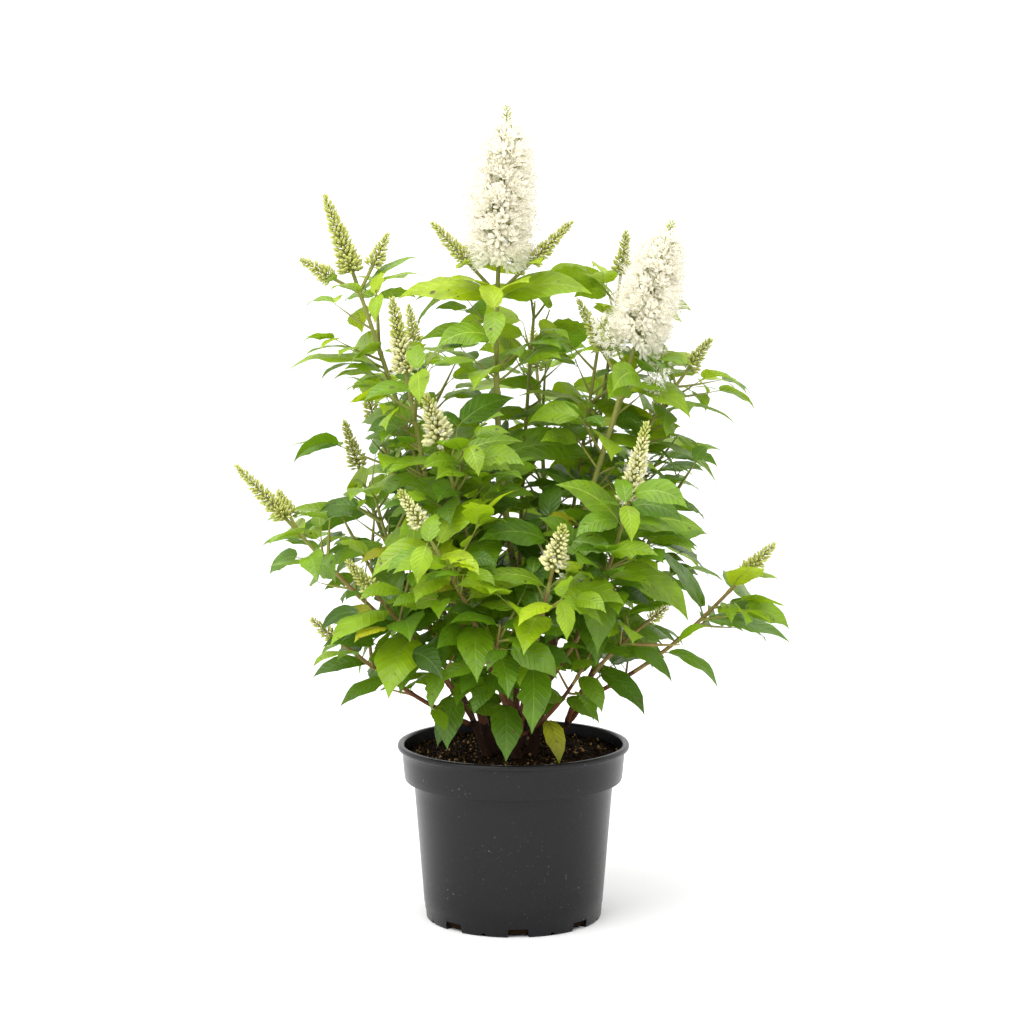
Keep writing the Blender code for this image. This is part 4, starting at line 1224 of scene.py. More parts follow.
turn = add.math("MULTIPLY", add.math("ADD", add.math("MULTIPLY", t, sizes["Waves"]), add.read("phase")),
                2 * math.pi)
wave = add.math("MULTIPLY", add.math("MULTIPLY", off, add.read("wave")), add.math("SINE", turn))
curl = add.math("MULTIPLY", add.math("POWER", off, 2.0), sizes["Edge curl"])
high = add.math("SUBTRACT", add.math("ADD", add.math("MULTIPLY", off, add.math("SINE", fold)), wave), curl)
high = add.math("ADD", high, flat[2])
spot = add.vector("ADD", add.read("root", "FLOAT_VECTOR"), add.blend(out, run, up, rise))
spot = add.vector("ADD", spot, add.blend(side, add.math("MULTIPLY", across, size),
                                         normal, add.math("MULTIPLY", high, size)))
bent = add("GeometryNodeSetPosition", {"Geometry": real, "Position": spot}).outputs[0]
tint, part = add.read("tint", "INT"), add.read("part", "INT")
end_tree(add, end, bent, [
    (None, sizes["Tint 1"]), (add.math("COMPARE", tint, 1.0, 0.1), sizes["Tint 2"]),
    (add.math("COMPARE", tint, 2.0, 0.1), sizes["Tint 3"]),
    (add.math("COMPARE", tint, 3.0, 0.1), sizes["Spent"]),
    (add.math("GREATER_THAN", part, 0.5), sizes["Rib"])])
leaf_tree = add.tree

# %% Set out the leaves of each band, with painted light and shade
style = random.Random(SEED + 1)
SPENT_SHARE = 0.02
ARCH = math.radians(8)
# Shoots marked deep sit inside the crown or at its skirt, and this shift darkens their leaves as painted
# shade; shoots marked young get lighter tints, partly as painted light.
AGE_LIGHT = {"young": 0.25, "mid": 0.0, "deep": -0.16}


def leaf_row(leaf, age_and_light):
    """The numbers that the leaf tree reads for one leaf."""
    tint = style.choice((0, 0, 1, 1, 2))
    if age_and_light != "young" and style.random() < SPENT_SHARE:
        tint = 3
    return {
        "root": leaf.root, "lift": leaf.lift + ARCH, "droop": leaf.droop + 2 * ARCH, "length": leaf.length,
        "bearing": math.atan2(leaf.out.y, leaf.out.x), "roll": leaf.roll,
        "twist": math.radians(style.uniform(-14, 14)), "broad": style.uniform(0.90, 1.06),
        "fold": math.radians(style.uniform(6, 22)), "wave": style.uniform(0.03, 0.10),
        "phase": style.random(), "sickle": style.uniform(-0.06, 0.06),
        "cut": style.choice((0, 0, 1, 2, 3)), "tint": tint,
    }


rows = {age_and_light: [] for age_and_light in AGE_AND_LIGHT_TINTS}
# The band is partly painted light and shade: the higher a leaf grows and the farther from the axis, the
# lighter its tint, while its rank on its shoot stands for its age.
for leaf, name, rank in leaves:
    reach = math.hypot(leaf.root.x, leaf.root.y)
    light = (leaf.root.z - 0.15) / 0.36 + 1.1 * reach - 0.08 * rank + AGE_LIGHT[SPRIGS[name].age_and_light]
    light += style.uniform(-0.26, 0.26)
    age_and_light = "young" if light > 0.66 else "mid" if light > 0.26 else "deep"
    rows[age_and_light].append(leaf_row(leaf, age_and_light))
foliage = {}
for age_and_light, table in rows.items():
    mesh = bpy.data.meshes.new(age_and_light + "_places")
    mesh.from_pydata([row["root"] for row in table], [], [])
    carry(mesh, {key: [row[key] for row in table] for key in table[0]})
    places = bpy.data.objects.new(age_and_light + "_places", mesh)
    bpy.context.scene.collection.objects.link(places)
    foliage[age_and_light] = grown("leaves_" + age_and_light, places, leaf_tree, {
        "Cuts": leaf_cuts, "Tint 1": blades[age_and_light][0], "Tint 2": blades[age_and_light][1], "Tint 3": blades[age_and_light][2],
        "Spent": spent, "Rib": ribs[age_and_light]})

# %% [markdown]
# ## Buds and blossom
# A clethra flowers in spikes. Club-shaped buds stand on short stalks, in a spiral that turns by the
# golden angle from one to the next, long and wide apart at the foot and small and pressed together at
# the tip. Where a spike is open, each bud has become a cream bell of five petals, with stamens that
# reach out past them and end in dark tips.

# %% Model one bud and one floret
BUD_SIDES = 5
BUD_TURNED = ((0.0, 0.036), (0.40, 0.040), (0.48, 0.088), (0.64, 0.122), (0.82, 0.108), (0.95, 0.052))
GREEN, CREAM, THREAD, DARK = 0, 1, 2, 3


def repeated_shape(name, verts, faces, parts):
    """A small mesh whose faces say which part they belong to."""
    mesh = bpy.data.meshes.new(name)
    mesh.from_pydata(verts, [], faces)
    mesh.attributes.new("part", "INT", "FACE").data.foreach_set("value", parts)
    return bpy.data.objects.new(name, mesh)


def bud_shape(name, turned, green_to):
    """A bud on its stalk, turned round +Z, one unit long."""
    verts = [(r * math.cos(2 * math.pi * k / BUD_SIDES), r * math.sin(2 * math.pi * k / BUD_SIDES), z)
             for z, r in turned for k in range(BUD_SIDES)]
    verts.append((0, 0, 1))
    faces, parts = [], []
    for row in range(len(turned) - 1):
        for k in range(BUD_SIDES):
            a, b = row * BUD_SIDES + k, row * BUD_SIDES + (k + 1) % BUD_SIDES
            faces.append((a, b, b + BUD_SIDES, a + BUD_SIDES))
            parts.append(GREEN if turned[row + 1][0] <= green_to else CREAM)
    last = (len(turned) - 1) * BUD_SIDES
    for k in range(BUD_SIDES):
        faces.append((last + k, last + (k + 1) % BUD_SIDES, len(verts) - 1))
        parts.append(CREAM)
    return repeated_shape(name, verts, faces, parts)


def floret_shape(name, opening, seed):
    """An open floret: stalk and cup, five petals and the stamens, one unit to the petal tips."""
    luck = random.Random(seed)
    verts, faces, parts = [], [], []

    def put(corners, kinds, part):
        base = len(verts)
        verts.extend(corners)
        faces.extend(tuple(base + i for i in kind) for kind in kinds)
        parts.extend([part] * len(kinds))

    for (z0, r0), (z1, r1), sides in (((0, 0.016), (0.56, 0.016), 3), ((0.56, 0.022), (0.68, 0.070), 5)):
        ring = [(r * math.cos(2 * math.pi * k / sides), r * math.sin(2 * math.pi * k / sides), z)
                for z, r in ((z0, r0), (z1, r1)) for k in range(sides)]
        put(ring, [(k, (k + 1) % sides, (k + 1) % sides + sides, k + sides) for k in range(sides)], GREEN)
    for petal in range(5):
        a = 2 * math.pi * petal / 5
        ahead, beside_it = Vector((math.cos(a), math.sin(a), 0)), Vector((-math.sin(a), math.cos(a), 0))
        flare = opening * luck.uniform(0.85, 1.15)
        corners = []
        for z, r, half in ((0.66, 0.035, 0.020), (0.76, 0.09 * flare, 0.052), (0.86, 0.16 * flare, 0.058),
                           (0.93, 0.21 * flare, 0.028)):
            for hand in (-1, 1):
                corners.append(ahead * r + beside_it * half * hand + UP * (z + 0.02 * hand))
        put(corners, [(i, i + 1, i + 3, i + 2) for i in (0, 2, 4)], CREAM)
    for stamen in range(9):
        a = 2 * math.pi * (stamen + luck.uniform(-0.3, 0.3)) / 9
        ahead, beside_it = Vector((math.cos(a), math.sin(a), 0)), Vector((-math.sin(a), math.cos(a), 0))
        tip = ahead * luck.uniform(0.08, 0.26) + UP * luck.uniform(0.98, 1.28)
        foot = ahead * 0.03 + UP * 0.6
        across = beside_it * 0.0055
        put([foot - across, foot + across, tip + across, tip - across], [(0, 1, 2, 3)], THREAD)
        s = 0.014
        put([tip + ahead * s, tip + beside_it * s - ahead * s, tip - beside_it * s - ahead * s,
             tip + UP * s * 1.8], [(0, 2, 1), (0, 1, 3), (1, 2, 3), (2, 0, 3)], DARK)
    return repeated_shape(name, verts, faces, parts)


bud_kinds = bpy.data.collections.new("bud_kinds")
bud_kinds.objects.link(bud_shape("bud_0_club", BUD_TURNED, 0.50))
bud_kinds.objects.link(bud_shape("bud_1_round", [(z, r * 1.18) for z, r in BUD_TURNED], 0.50))
floret_kinds = bpy.data.collections.new("floret_kinds")
for i, opening in enumerate((1.0, 0.82, 1.12)):
    floret_kinds.objects.link(floret_shape("floret_%d" % i, opening, SEED + i))

# %% [markdown]
# Petals and stamens are so thin that most of the light goes through them, which keeps blossom bright
# even on the side away from the light. Their finish mixes in a large share of a Translucent shader.
# Buds and their stalks are solid, so a mottled green or cream is enough for them.

# %% The finishes of buds and blossom
def lit_through(parts, glow, share):
    """A finish whose piece is thin enough to let a share of the light through."""
    made, add, shader, bump = parts
    through = add("ShaderNodeBsdfTranslucent", {"Color": (*glow, 1.0), "Normal": bump.outputs[0]})
    mixed = add("ShaderNodeMixShader", {0: share, 1: shader.outputs[0], 2: through.outputs[0]})
    made.node_tree.links.new(mixed.outputs[0], made.node_tree.nodes["Material Output"].inputs[0])
    return made


bud_green = finish("bud_green", (0.430, 0.450, 0.110), 0.50, grain=1500, relief=0.0001, mottle=0.18)[0]
bud_cream = finish("bud_cream", (0.640, 0.620, 0.300), 0.50, grain=1500, relief=0.0001, mottle=0.14)[0]
bud_stalk = finish("bud_stalk", (0.250, 0.290, 0.035), 0.52, grain=1500, relief=0.0001)[0]
petal = lit_through(finish("petal_cream", (0.950, 0.930, 0.850), 0.55, grain=1500, relief=0.0001,
                           mottle=0.05), (0.97, 0.955, 0.88), 0.66)
cup = finish("floret_cup", (0.560, 0.570, 0.300), 0.52, grain=1500, relief=0.0001)[0]
thread = lit_through(finish("stamen_thread", (0.920, 0.900, 0.840), 0.50, grain=2000, relief=0.0001,
                            mottle=0.05), (0.96, 0.94, 0.86), 0.62)
anther = finish("anther_dark", (0.520, 0.420, 0.230), 0.60, grain=2000, relief=0.0001, mottle=0.20)[0]

# %% [markdown]
# One tree serves buds and florets alike. It walks up the line of a spike, turns by the golden angle at
# each seat, leans the shape out as far as the line says there, and sizes and spins it by chance. The
# chance is a noise of the seat's number and a seed, so every run gives the same flowers.

# %% The tree that sets buds or florets round a spike
GOLDEN_TURN = math.radians(137.508)
add, sizes, end = growth_tree("spike_tree", {
    "Kinds": ("Collection", None), "Kind count": ("Int", 2), "Turn": ("Float", GOLDEN_TURN),
    "Size scatter": ("Float", 0.16), "Lean scatter": ("Float", 0.16), "Seed": ("Int", SEED),
    "Green part": ("Material", None), "Green bud": ("Material", None), "Cream part": ("Material", None),
    "Thread": ("Material", None), "Dark part": ("Material", None)})
kinds = add("GeometryNodeCollectionInfo", {"Collection": sizes["Kinds"], "Separate Children": True,
                                           "Reset Children": True}).outputs[0]
axis = add("GeometryNodeMeshToCurve", {0: sizes["Geometry"]}).outputs[0]
axis = add("GeometryNodeResampleCurve", {"Curve": axis, "Count": add.read("count", "INT")}).outputs[0]
seats = add("GeometryNodeCurveToPoints", {"Curve": axis}, mode="EVALUATED").outputs
number = add("GeometryNodeInputIndex").outputs[0]


def chance(key):
    """A number from 0 to 1 that depends on the point's own number, the seed and a key."""
    mixed = add("ShaderNodeCombineXYZ", {0: number, 1: sizes["Seed"], 2: float(key)}).outputs[0]
    return add("ShaderNodeTexWhiteNoise", {"Vector": mixed}, noise_dimensions="3D").outputs[0]


spiral = add("ShaderNodeVectorRotate", {
    "Vector": seats["Normal"], "Axis": seats["Tangent"],
    "Angle": add.math("MULTIPLY", number, sizes["Turn"])}).outputs[0]
scatter = add.math("MULTIPLY", add.between(chance(1), -1.0, 1.0), sizes["Lean scatter"])
lean = add.math("ADD", add.read("lean"), scatter)
outwards = add.blend(spiral, add.math("SINE", lean), seats["Tangent"], add.math("COSINE", lean))
facing = add("FunctionNodeAlignRotationToVector", {"Vector": outwards}, axis="Z").outputs[0]
spin = add("FunctionNodeAxisAngleToRotation", {"Axis": (0.0, 0.0, 1.0),
                                               "Angle": add.between(chance(2), 0.0, 2 * math.pi)}).outputs[0]
facing = add("FunctionNodeRotateRotation", {"Rotation": facing, "Rotate By": spin},
             rotation_space="LOCAL").outputs[0]
scatter = add.math("MULTIPLY", add.between(chance(3), -1.0, 1.0), sizes["Size scatter"])
long = add.math("MULTIPLY", add.read("size"), add.math("ADD", 1.0, scatter))
pick = add.math("FLOOR", add.math("MULTIPLY", chance(4), sizes["Kind count"]))
set_out = add("GeometryNodeInstanceOnPoints", {
    "Points": seats["Points"], "Instance": kinds, "Pick Instance": True, "Instance Index": pick,
    "Rotation": facing, "Scale": long}).outputs[0]
part, tint = add.read("part", "INT"), add.read("tint", "FLOAT")
is_cream = add.math("COMPARE", part, float(CREAM), 0.1)
end_tree(add, end, set_out, [
    (None, sizes["Green part"]), (is_cream, sizes["Green bud"]),
    (add.math("MULTIPLY", is_cream, add.math("GREATER_THAN", tint, 0.5)), sizes["Cream part"]),
    (add.math("COMPARE", part, float(THREAD), 0.1), sizes["Thread"]),
    (add.math("COMPARE", part, float(DARK), 0.1), sizes["Dark part"])])
spike_tree = add.tree

# %% [markdown]
# A spike is drawn as a line up its own stem that carries, point by point, how long its buds are and how
# far they lean out. Those two numbers make its shape: the spread at the foot, the taper and the tight
# green head. Spikes open from the foot upwards, so on the creamy ones a few florets stand among the
# lowest buds. Larger spikes have a pair of short side spikes at their foot, and two loose bunches hang
# beside the right bloom.

# %% Set out the spikes
BUD_SIZE = ((0.0, 1.24), (0.12, 1.22), (0.35, 1.04), (0.60, 0.86), (0.85, 0.70), (1.0, 0.54))
BUD_LEAN = ((0.0, 74), (0.3, 62), (0.6, 54), (0.88, 44), (1.0, 22))
BLOOM_SIZE = ((0.0, 0.86), (0.10, 0.98), (0.40, 1.0), (0.65, 0.96), (0.82, 0.85), (0.93, 0.68), (1.0, 0.48))
BLOOM_LEAN = ((0.0, 96), (0.15, 86), (0.5, 76), (0.85, 64), (1.0, 48))
FLORETS_PER_METRE = 4300
BLOOM_TO = 0.86
STEADY = ((0.0, 1.0), (1.0, 0.8))
STEADY_LEAN = ((0.0, 80), (1.0, 60))
HEAD_FROM = 0.84
HEAD_REACH = 0.0066
HEAD_BUDS = 30
CORE_REACH = 0.0085
CORE_BUDS = 46
BUDS_PER_METRE = 3000
FEWEST_BUDS = 48
BLOOM_SPREAD = {"centre_bloom": 1.16, "right_bloom": 0.98}

# How far up a spike its buds are cream, and how far up and how many of them are open
CREAM_TO = {"front_left": 0.8, "front_centre": 0.8, "short_white": 0.8, "front_right": 0.8,
            "cream_left": 0.5}
OPENING = {"front_right": (0.62, 46), "short_white": (0.55, 26), "cream_left": (0.40, 24),
           "front_left": (0.45, 14), "front_centre": (0.35, 12)}

# The loose bunches beside the right bloom: foot, tip and how far the florets stand out
BUNCHES = (((0.092, -0.024, 0.452), (0.066, -0.030, 0.492), 0.0105),
           ((0.120, -0.026, 0.470), (0.110, -0.036, 0.432), 0.0095))
spike_lines, bloom_lines = [], []


def spike_line(stem, start, end, reach, count, size_table, lean_table, cream_to=0.0):
    """The line of one spike; reach is how far its widest buds stand out from the stem."""
    line = []
    for i in range(13):
        f = i / 12
        point = stem.place(start + (end - start) * f)[0]
        line.append((point, {"size": reach * along_table(f, size_table), "count": count,
                             "lean": math.radians(along_table(f, lean_table)),
                             "tint": float(f < cream_to)}))
    return line


def side_pair(stem, at, length, cream_to):
    """A pair of short side spikes at the foot of a spike."""
    point, along = stem.place(at)
    flat = (stem.across - along * stem.across.dot(along)).normalized()
    for hand in (flat, -flat):
        heading = (hand * 0.7 + along * 0.7).normalized()
        branch = Stem(point, heading, point + heading * length + UP * 0.002, 0.0006, 0.0004)
        spike_lines.append(spike_line(branch, length * 0.35, length, length * 0.40, 22, BUD_SIZE,
                                      BUD_LEAN, cream_to))
        yield branch


spike_stems = []
for name, kind, stem, start, end_at, width in spikes:
    length = end_at - start
    if kind == "bloom":
        reach = width / 2 * BLOOM_SPREAD[name]
        bloom_lines.append(spike_line(stem, start + 0.006, start + length * BLOOM_TO, reach,
                                      int(length * FLORETS_PER_METRE), BLOOM_SIZE, BLOOM_LEAN))
        head = start + length * HEAD_FROM
        spike_lines.append(spike_line(stem, head, end_at, HEAD_REACH, HEAD_BUDS, BUD_SIZE, BUD_LEAN))
        spike_lines.append(spike_line(stem, start, head, CORE_REACH, CORE_BUDS, STEADY, STEADY_LEAN))
        continue
    cream_to = CREAM_TO.get(name, 0.0)
    reach = width * (0.42 if kind == "bud" else 0.56)
    count = max(int(length * BUDS_PER_METRE), FEWEST_BUDS)
    spike_lines.append(spike_line(stem, start, end_at, reach, count, BUD_SIZE, BUD_LEAN, cream_to))
    if name in OPENING and kind == "bud":
        up_to, count = OPENING[name]
        bloom_lines.append(spike_line(stem, start, start + length * up_to, reach * 1.15, count, STEADY,
                                      STEADY_LEAN))
    if kind == "bud" and length >= 0.050:
        spike_stems += side_pair(stem, start - 0.002, 0.016, cream_to)
for foot, tip, reach in BUNCHES:
    foot, tip = Vector(foot), Vector(tip)
    branch = Stem(foot, (tip - foot).normalized(), tip, 0.0007, 0.0004)
    spike_stems.append(branch)
    bloom_lines.append(spike_line(branch, branch.length * 0.3, branch.length, reach, 64, BLOOM_SIZE,
                                  BLOOM_LEAN))
buds = grown("flower_buds", strands("spike_lines", spike_lines), spike_tree, {
    "Kinds": bud_kinds, "Green part": bud_stalk, "Green bud": bud_green, "Cream part": bud_cream,
    "Thread": thread, "Dark part": anther})
blossom = grown("blossom", strands("bloom_lines", bloom_lines), spike_tree, {
    "Kinds": floret_kinds, "Kind count": 3, "Green part": cup, "Green bud": petal,
    "Cream part": petal, "Thread": thread, "Dark part": anther, "Lean scatter": 0.24})
spike_twigs = grown("spike_twigs", strands("spike_twig_lines", [
    limb_line(branch, 0.0005, branch.length, rough=0.2) for branch in spike_stems]), limb_tree,
    {**wood, "Sides": 5, "Relief": 0.0001})

# %% [markdown]
# ## The pot
# The pot is one moulding of dark grey plastic, 19 cm across its rolled lip, with a deep collar and a
# body that narrows to the foot. A profile turned round the upright axis gives it, with small roundings
# where a mould has them. Eight drainage notches and the small half-moons between them are cut from the
# foot by a Boolean, because they go through the wall.

# %% Turn the pot
POT_SIDES = 168
FOOT_BAND = 0.0118
NOTCHES = 8
NOTCH_WIDTH = 0.0165
NOTCH_HEIGHT = 0.0070
NOTCH_DEPTH = 0.0080
FIRST_NOTCH = 273
HALF_MOON_R = 0.0026


def body_r(z):
    """The outer radius of the pot's body at a height."""
    return FOOT_R + (BODY_TOP_R - FOOT_R) * z / COLLAR_Z


outer = [(0, 0.0006), (FOOT_R - 0.010, 0.0006), (FOOT_R - 0.0085, 0.0), (FOOT_R - 0.0014, 0.0),
         (FOOT_R - 0.0006, 0.0005), (body_r(0.0016) - 0.0003, 0.0016),
         (body_r(FOOT_BAND) - 0.0003, FOOT_BAND), (body_r(FOOT_BAND + 0.0006), FOOT_BAND + 0.0006)]
outer += [(body_r(z), z) for z in (COLLAR_Z * i / 10 for i in range(2, 10))]
outer += [(body_r(COLLAR_Z - 0.0016), COLLAR_Z - 0.0016), (BODY_TOP_R + 0.0005, COLLAR_Z - 0.0004),
          (BODY_TOP_R + 0.0018, COLLAR_Z), (COLLAR_FOOT_R - 0.0014, COLLAR_Z),
          (COLLAR_FOOT_R - 0.0004, COLLAR_Z + 0.0004), (COLLAR_FOOT_R, COLLAR_Z + 0.0014)]
outer += [(COLLAR_FOOT_R + (COLLAR_TOP_R - COLLAR_FOOT_R) * i / 4,
           COLLAR_Z + (lip_z - COLLAR_Z) * i / 4) for i in range(1, 4)]
rim = [(COLLAR_TOP_R - 0.0001, lip_z - 0.0012), (COLLAR_TOP_R + 0.0006, lip_z - 0.0002),
       (LIP_R - 0.0012, lip_z + 0.0002), (LIP_R - 0.0003, lip_z + 0.0010), (LIP_R, lip_z + 0.0022),
       (LIP_R - 0.0001, POT_HEIGHT - 0.0016), (LIP_R - 0.0007, POT_HEIGHT - 0.0005),
       (LIP_R - 0.0017, POT_HEIGHT), (COLLAR_TOP_R - WALL + 0.0012, POT_HEIGHT - 0.0002),
       (COLLAR_TOP_R - WALL, POT_HEIGHT - 0.0014)]
inner = [(COLLAR_FOOT_R - WALL, COLLAR_Z + WALL), (BODY_TOP_R - WALL, COLLAR_Z + WALL),
         (FOOT_R - WALL, FLOOR), (0, FLOOR)]


def shell_piece(name, shell):
    """A plain object made from a shell's vertices and faces."""
    mesh = bpy.data.meshes.new(name)
    mesh.from_pydata([tuple(v) for v in shell[0]], [], shell[1])
    made = bpy.data.objects.new(name, mesh)
    bpy.context.scene.collection.objects.link(made)
    return made


def notch_cutter(bearing):
    """A block that cuts one drainage notch, a little wider at its foot."""
    ahead, aside = polar(bearing, 1.0), polar(bearing + 90, 1.0)
    corners = []
    for r in (FOOT_R - NOTCH_DEPTH, FOOT_R + 0.004):
        for w in (-1, 1):
            for z, spread in ((-0.002, 1.06), (NOTCH_HEIGHT, 0.94)):
                corners.append(ahead * r + aside * w * NOTCH_WIDTH / 2 * spread + UP * z)
    return corners, [(0, 1, 3, 2), (4, 6, 7, 5), (0, 4, 5, 1), (2, 3, 7, 6), (0, 2, 6, 4), (1, 5, 7, 3)]


def moon_cutter(bearing):
    """A short rod that cuts one half-moon from the foot's edge."""
    ahead, aside = polar(bearing, 1.0), polar(bearing + 90, 1.0)
    sides = 16
    ring = [aside * math.cos(2 * math.pi * k / sides) + UP * math.sin(2 * math.pi * k / sides)
            for k in range(sides)]
    corners = [ahead * r + spoke * HALF_MOON_R for r in (FOOT_R - 0.0022, FOOT_R + 0.004) for spoke in ring]
    faces = [(k, (k + 1) % sides, (k + 1) % sides + sides, k + sides) for k in range(sides)]
    return corners, faces + [tuple(reversed(range(sides))), tuple(range(sides, 2 * sides))]


pot = shell_piece("moulded_pot", revolve(outer + rim + inner, POT_SIDES))
cutting = bpy.data.collections.new("cutting")
for i in range(NOTCHES):
    for cutter in (notch_cutter(FIRST_NOTCH + 45 * i), moon_cutter(FIRST_NOTCH + 45 * i + 22.5)):
        tool = shell_piece("cutter", cutter)
        bpy.context.scene.collection.objects.unlink(tool)
        cutting.objects.link(tool)
cut = pot.modifiers.new("cut", "BOOLEAN")
cut.operation, cut.solver = "DIFFERENCE", "EXACT"
cut.operand_type, cut.collection = "COLLECTION", cutting
mesh = bpy.data.meshes.new_from_object(pot.evaluated_get(bpy.context.evaluated_depsgraph_get()))
pot.modifiers.clear()
pot.data = mesh
for tool in list(cutting.objects):
    bpy.data.objects.remove(tool)
mesh.polygons.foreach_set("use_smooth", [True] * len(mesh.polygons))
mesh.set_sharp_from_angle(angle=math.radians(38))
print("pot faces", len(mesh.polygons))

# %% [markdown]
# Nursery plastic is matt and a little uneven, and this pot has stood outside: pale specks of dust and
# dried splashes lie on it. Two cell patterns, cut off so high that only some cells keep a dot, give the
# specks, and a cloudy noise makes them gather in places. They lighten the colour.

# %% The finish of the pot
plastic, add, shader, bump = finish("pot_plastic", (0.0040, 0.0037, 0.0048), 0.31, grain=900, relief=0.00005,
                                    mottle=0.10, swing=0.05, gloss=0.24)
spot_place = add("ShaderNodeTexCoord").outputs["Object"]
clouds = add.between(add.noise(spot_place, 22.0, 3.0), 0.0, 1.0, 0.42, 0.62)
specks = 0.0
for scale, size in ((210.0, 0.20), (520.0, 0.22)):
    cells = add("ShaderNodeTexVoronoi", {"Vector": spot_place, "Scale": scale}).outputs
    kept = add.math("GREATER_THAN", add("ShaderNodeSeparateXYZ", {0: cells["Color"]}).outputs[0], 0.80)
    dot = add.between(cells["Distance"], 1.0, 0.0, size * 0.5, size)
    dot = add.math("MULTIPLY", add("ShaderNodeClamp", {0: dot}).outputs[0], kept)
    specks = add.math("MAXIMUM", dot, specks)
specks = add.math("MULTIPLY", specks, clouds)
plain = shader.inputs["Base Color"].links[0].from_socket
speckled = add("ShaderNodeMix", {"Factor": add.math("MULTIPLY", specks, 0.6)}, data_type="RGBA")
plastic.node_tree.links.new(plain, speckled.inputs[6])
speckled.inputs[7].default_value = (0.13, 0.12, 0.11, 1.0)
plastic.node_tree.links.new(speckled.outputs[2], shader.inputs["Base Color"])
pot.data.materials.append(plastic)

# %% [markdown]
# ## The compost
# The compost is a dark, crumbly bed. Its surface is a turned disc pushed up and down by noise, and over
# it lie a few thousand crumbs and chips of bark in four shapes and three colours. The crumbs are set by
# Geometry Nodes: points strewn on the bed, a shape picked for each, turned and sized by chance.

# %% Lay the compost bed
BED_RINGS = 26
BED_SIDES = 96
soil_dark = finish("soil_dark", (0.0120, 0.0062, 0.0020), 0.95, grain=900, relief=0.0008, mottle=0.5,
                   gloss=0.05)[0]
soil_brown = finish("soil_brown", (0.055, 0.026, 0.008), 0.90, grain=900, relief=0.0005, mottle=0.4,
                    gloss=0.10)[0]
soil_pale = finish("soil_pale", (0.330, 0.190, 0.075), 0.80, grain=900, relief=0.0005, mottle=0.3,
                   gloss=0.20)[0]
bed_edge = COLLAR_FOOT_R - WALL + (COLLAR_TOP_R - COLLAR_FOOT_R) * (SOIL_EDGE_Z - COLLAR_Z) / (
    POT_HEIGHT - COLLAR_Z) - GAP
side_rings = [(0, FLOOR + GAP), (FOOT_R - WALL - 2 * GAP, FLOOR + GAP),
              (BODY_TOP_R - WALL - 2 * GAP, COLLAR_Z - 0.001),
              (BODY_TOP_R - WALL - 2 * GAP, COLLAR_Z + WALL + GAP), (COLLAR_FOOT_R - WALL - GAP,
                                                                     COLLAR_Z + WALL + GAP)]
top_rings = [(bed_edge * (1 - i / BED_RINGS), SOIL_EDGE_Z + (SOIL_MID_Z - SOIL_EDGE_Z) *
              min(i / BED_RINGS * 1.6, 1)) for i in range(BED_RINGS + 1)]
bed = shell_piece("compost_bed", revolve(side_rings + top_rings, BED_SIDES))
for v in bed.data.vertices:
    if v.co.z > SOIL_EDGE_Z - 0.001:
        lump = noise.noise(v.co * 90) * 0.0013 + noise.noise(v.co * 260) * 0.0007
        v.co.z += lump - 0.0004
bed.data.polygons.foreach_set("use_smooth", [True] * len(bed.data.polygons))
bed.data.materials.append(soil_dark)

# %% Model the crumbs
crumb_kinds = bpy.data.collections.new("crumb_kinds")
luck = random.Random(SEED + 5)
for i, (stretch, part) in enumerate((((1, 0.8, 0.7), 0), ((1, 0.9, 0.8), 0), ((1.3, 0.6, 0.5), 0),
                                     ((1.9, 0.45, 0.3), 1), ((1, 0.8, 0.6), 1), ((1.2, 0.7, 0.5), 2))):
    ball = bmesh.new()
    bmesh.ops.create_icosphere(ball, subdivisions=1, radius=0.5)
    for v in ball.verts:
        v.co = Vector([a * b for a, b in zip(v.co, stretch)]) * luck.uniform(0.75, 1.2)
    mesh = bpy.data.meshes.new("crumb_%d" % i)
    ball.to_mesh(mesh)
    ball.free()
    mesh.attributes.new("part", "INT", "FACE").data.foreach_set("value", [part] * len(mesh.polygons))
    crumb_kinds.objects.link(bpy.data.objects.new("crumb_%d" % i, mesh))

# %% The tree that strews the crumbs
add, sizes, end = growth_tree("crumb_tree", {
    "Kinds": ("Collection", None), "Crumbs per m2": ("Float", 150000.0), "Smallest": ("Float", 0.0008),
    "Largest": ("Float", 0.0046), "Seed": ("Int", SEED), "Dark": ("Material", None),
    "Brown": ("Material", None), "Pale": ("Material", None)})
up_z = add("ShaderNodeSeparateXYZ", {0: add("GeometryNodeInputNormal").outputs[0]}).outputs[2]
high = add("ShaderNodeSeparateXYZ", {0: add("GeometryNodeInputPosition").outputs[0]}).outputs[2]
on_top = add.math("MULTIPLY", add.math("GREATER_THAN", up_z, 0.5),
                  add.math("GREATER_THAN", high, SOIL_EDGE_Z - 0.004))
strewn = add("GeometryNodeDistributePointsOnFaces", {
    "Mesh": sizes["Geometry"], "Selection": on_top, "Density": sizes["Crumbs per m2"],
    "Seed": sizes["Seed"]}).outputs[0]
kinds = add("GeometryNodeCollectionInfo", {"Collection": sizes["Kinds"], "Separate Children": True,
                                           "Reset Children": True}).outputs[0]
number = add("GeometryNodeInputIndex").outputs[0]
turned = add("ShaderNodeCombineXYZ", {i: add.math("MULTIPLY", chance(i + 1), 2 * math.pi) for i in range(3)})
small_first = add.math("POWER", chance(5), 2.6)
pick = add.math("FLOOR", add.math("MULTIPLY", add.math("POWER", chance(6), 1.7), 5.999))
size = add("ShaderNodeMapRange", {"Value": small_first, "To Min": sizes["Smallest"],
                                  "To Max": sizes["Largest"]}).outputs[0]
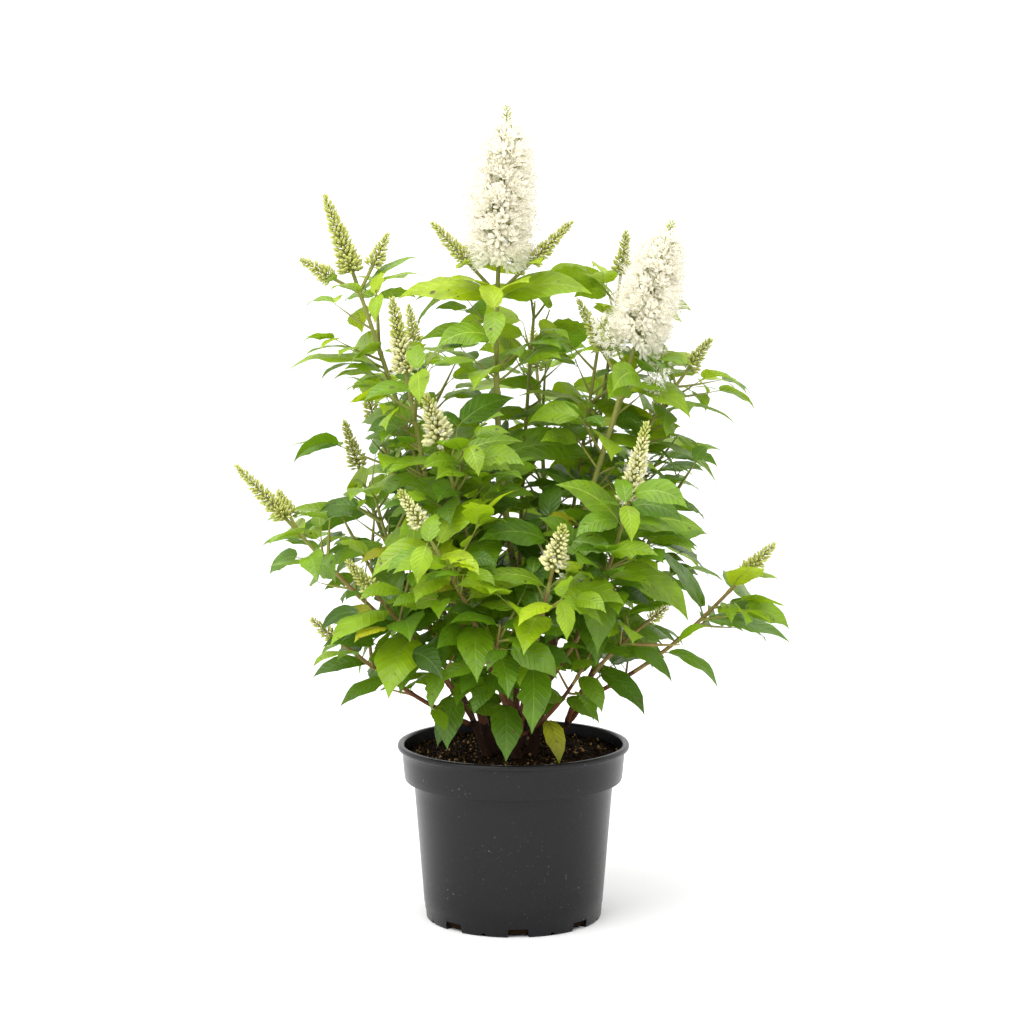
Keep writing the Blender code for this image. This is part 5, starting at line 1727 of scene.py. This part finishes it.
crumbs = add("GeometryNodeInstanceOnPoints", {
    "Points": strewn, "Instance": kinds, "Pick Instance": True, "Instance Index": pick,
    "Rotation": add("FunctionNodeEulerToRotation", {0: turned.outputs[0]}).outputs[0],
    "Scale": size}).outputs[0]
part = add.read("part", "INT")
end_tree(add, end, crumbs, [(None, sizes["Dark"]), (add.math("GREATER_THAN", part, 0.5), sizes["Brown"]),
                            (add.math("GREATER_THAN", part, 1.5), sizes["Pale"])])
strewn_on = bed.copy()
strewn_on.data = bed.data.copy()
bpy.context.scene.collection.objects.link(strewn_on)
crumbs = grown("compost_crumbs", strewn_on, add.tree, {
    "Kinds": crumb_kinds, "Dark": soil_dark, "Brown": soil_brown, "Pale": soil_pale})

# %% [markdown]
# ## Joining the looks to the part
# Every piece rides on the part's one body. The solids it stands for stay in the file for contact
# and weight and are no longer shown.

# %% Hand over the pieces
masses = {age_and_light: [name for name, sprig in SPRIGS.items() if sprig.age_and_light == age_and_light] for age_and_light in AGE_AND_LIGHT_TINTS}
pieces = [(pot, "plastic", ["pot"]), (bed, "compost", ["compost"]), (crumbs, "compost", []),
          (canes, "bark", list(CANES)), (boughs, "bark", list(BOUGHS)), (shoots, "bark", []),
          (spike_twigs, "leaf_young", []), (buds, "leaf_young", []), (blossom, "leaf_young", [])]
pieces += [(foliage[age_and_light], "leaf_" + age_and_light, masses[age_and_light]) for age_and_light in AGE_AND_LIGHT_TINTS]
for piece, slot, stands_for in pieces:
    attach(piece, "root")
    if stands_for:
        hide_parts(*stands_for)
print("pieces", len(pieces), "triangles",
      sum(len(p.vertices) - 2 for piece, _, _ in pieces for p in piece.data.polygons))

# %% [markdown]
# ## The studio
# The shrub stands in a white studio under broad soft light, a little stronger from above and the left.
# A pale floor that runs far back and a white surrounding leave no horizon. The camera is at the
# photograph's angle: 2 m away and a little above the middle of the crown, looking slightly down.

# %% Floor, light and camera
scene = bpy.context.scene
scene.view_settings.view_transform = "Standard"
floor = shell_piece("studio_floor", ([(-9, -9, 0), (9, -9, 0), (9, 9, 0), (-9, 9, 0)], [(0, 1, 2, 3)]))
paper = finish("studio_paper", (0.90, 0.90, 0.90), 0.9, grain=60, relief=0.0001, mottle=0.005)[0]
floor.data.materials.append(paper)

world = bpy.data.worlds.new("white_room")
world.use_nodes = True
world.node_tree.nodes["Background"].inputs[0].default_value = (1.0, 1.0, 1.0, 1.0)
world.node_tree.nodes["Background"].inputs[1].default_value = 1.45
scene.world = world


def soft_light(name, place, aim, size, watts):
    """A square softbox that shines from a place towards a point."""
    lamp = bpy.data.lights.new(name, "AREA")
    lamp.size, lamp.energy = size, watts
    made = bpy.data.objects.new(name, lamp)
    made.location = place
    made.rotation_euler = (Vector(aim) - Vector(place)).to_track_quat("-Z", "Y").to_euler()
    scene.collection.objects.link(made)


soft_light("top_box", (-0.5, -0.5, 2.2), (0, 0, 0.35), 1.6, 40)
soft_light("left_box", (-1.4, -1.7, 1.2), (0, 0, 0.35), 1.6, 16)

camera = bpy.data.objects.new("camera", bpy.data.cameras.new("camera"))
camera.data.lens = 87.19
camera.data.sensor_width = 36
camera.location = (-0.0012, -2.0, 0.56)
camera.rotation_euler = (math.radians(90 - 6.45), 0, 0)
scene.collection.objects.link(camera)
scene.camera = camera
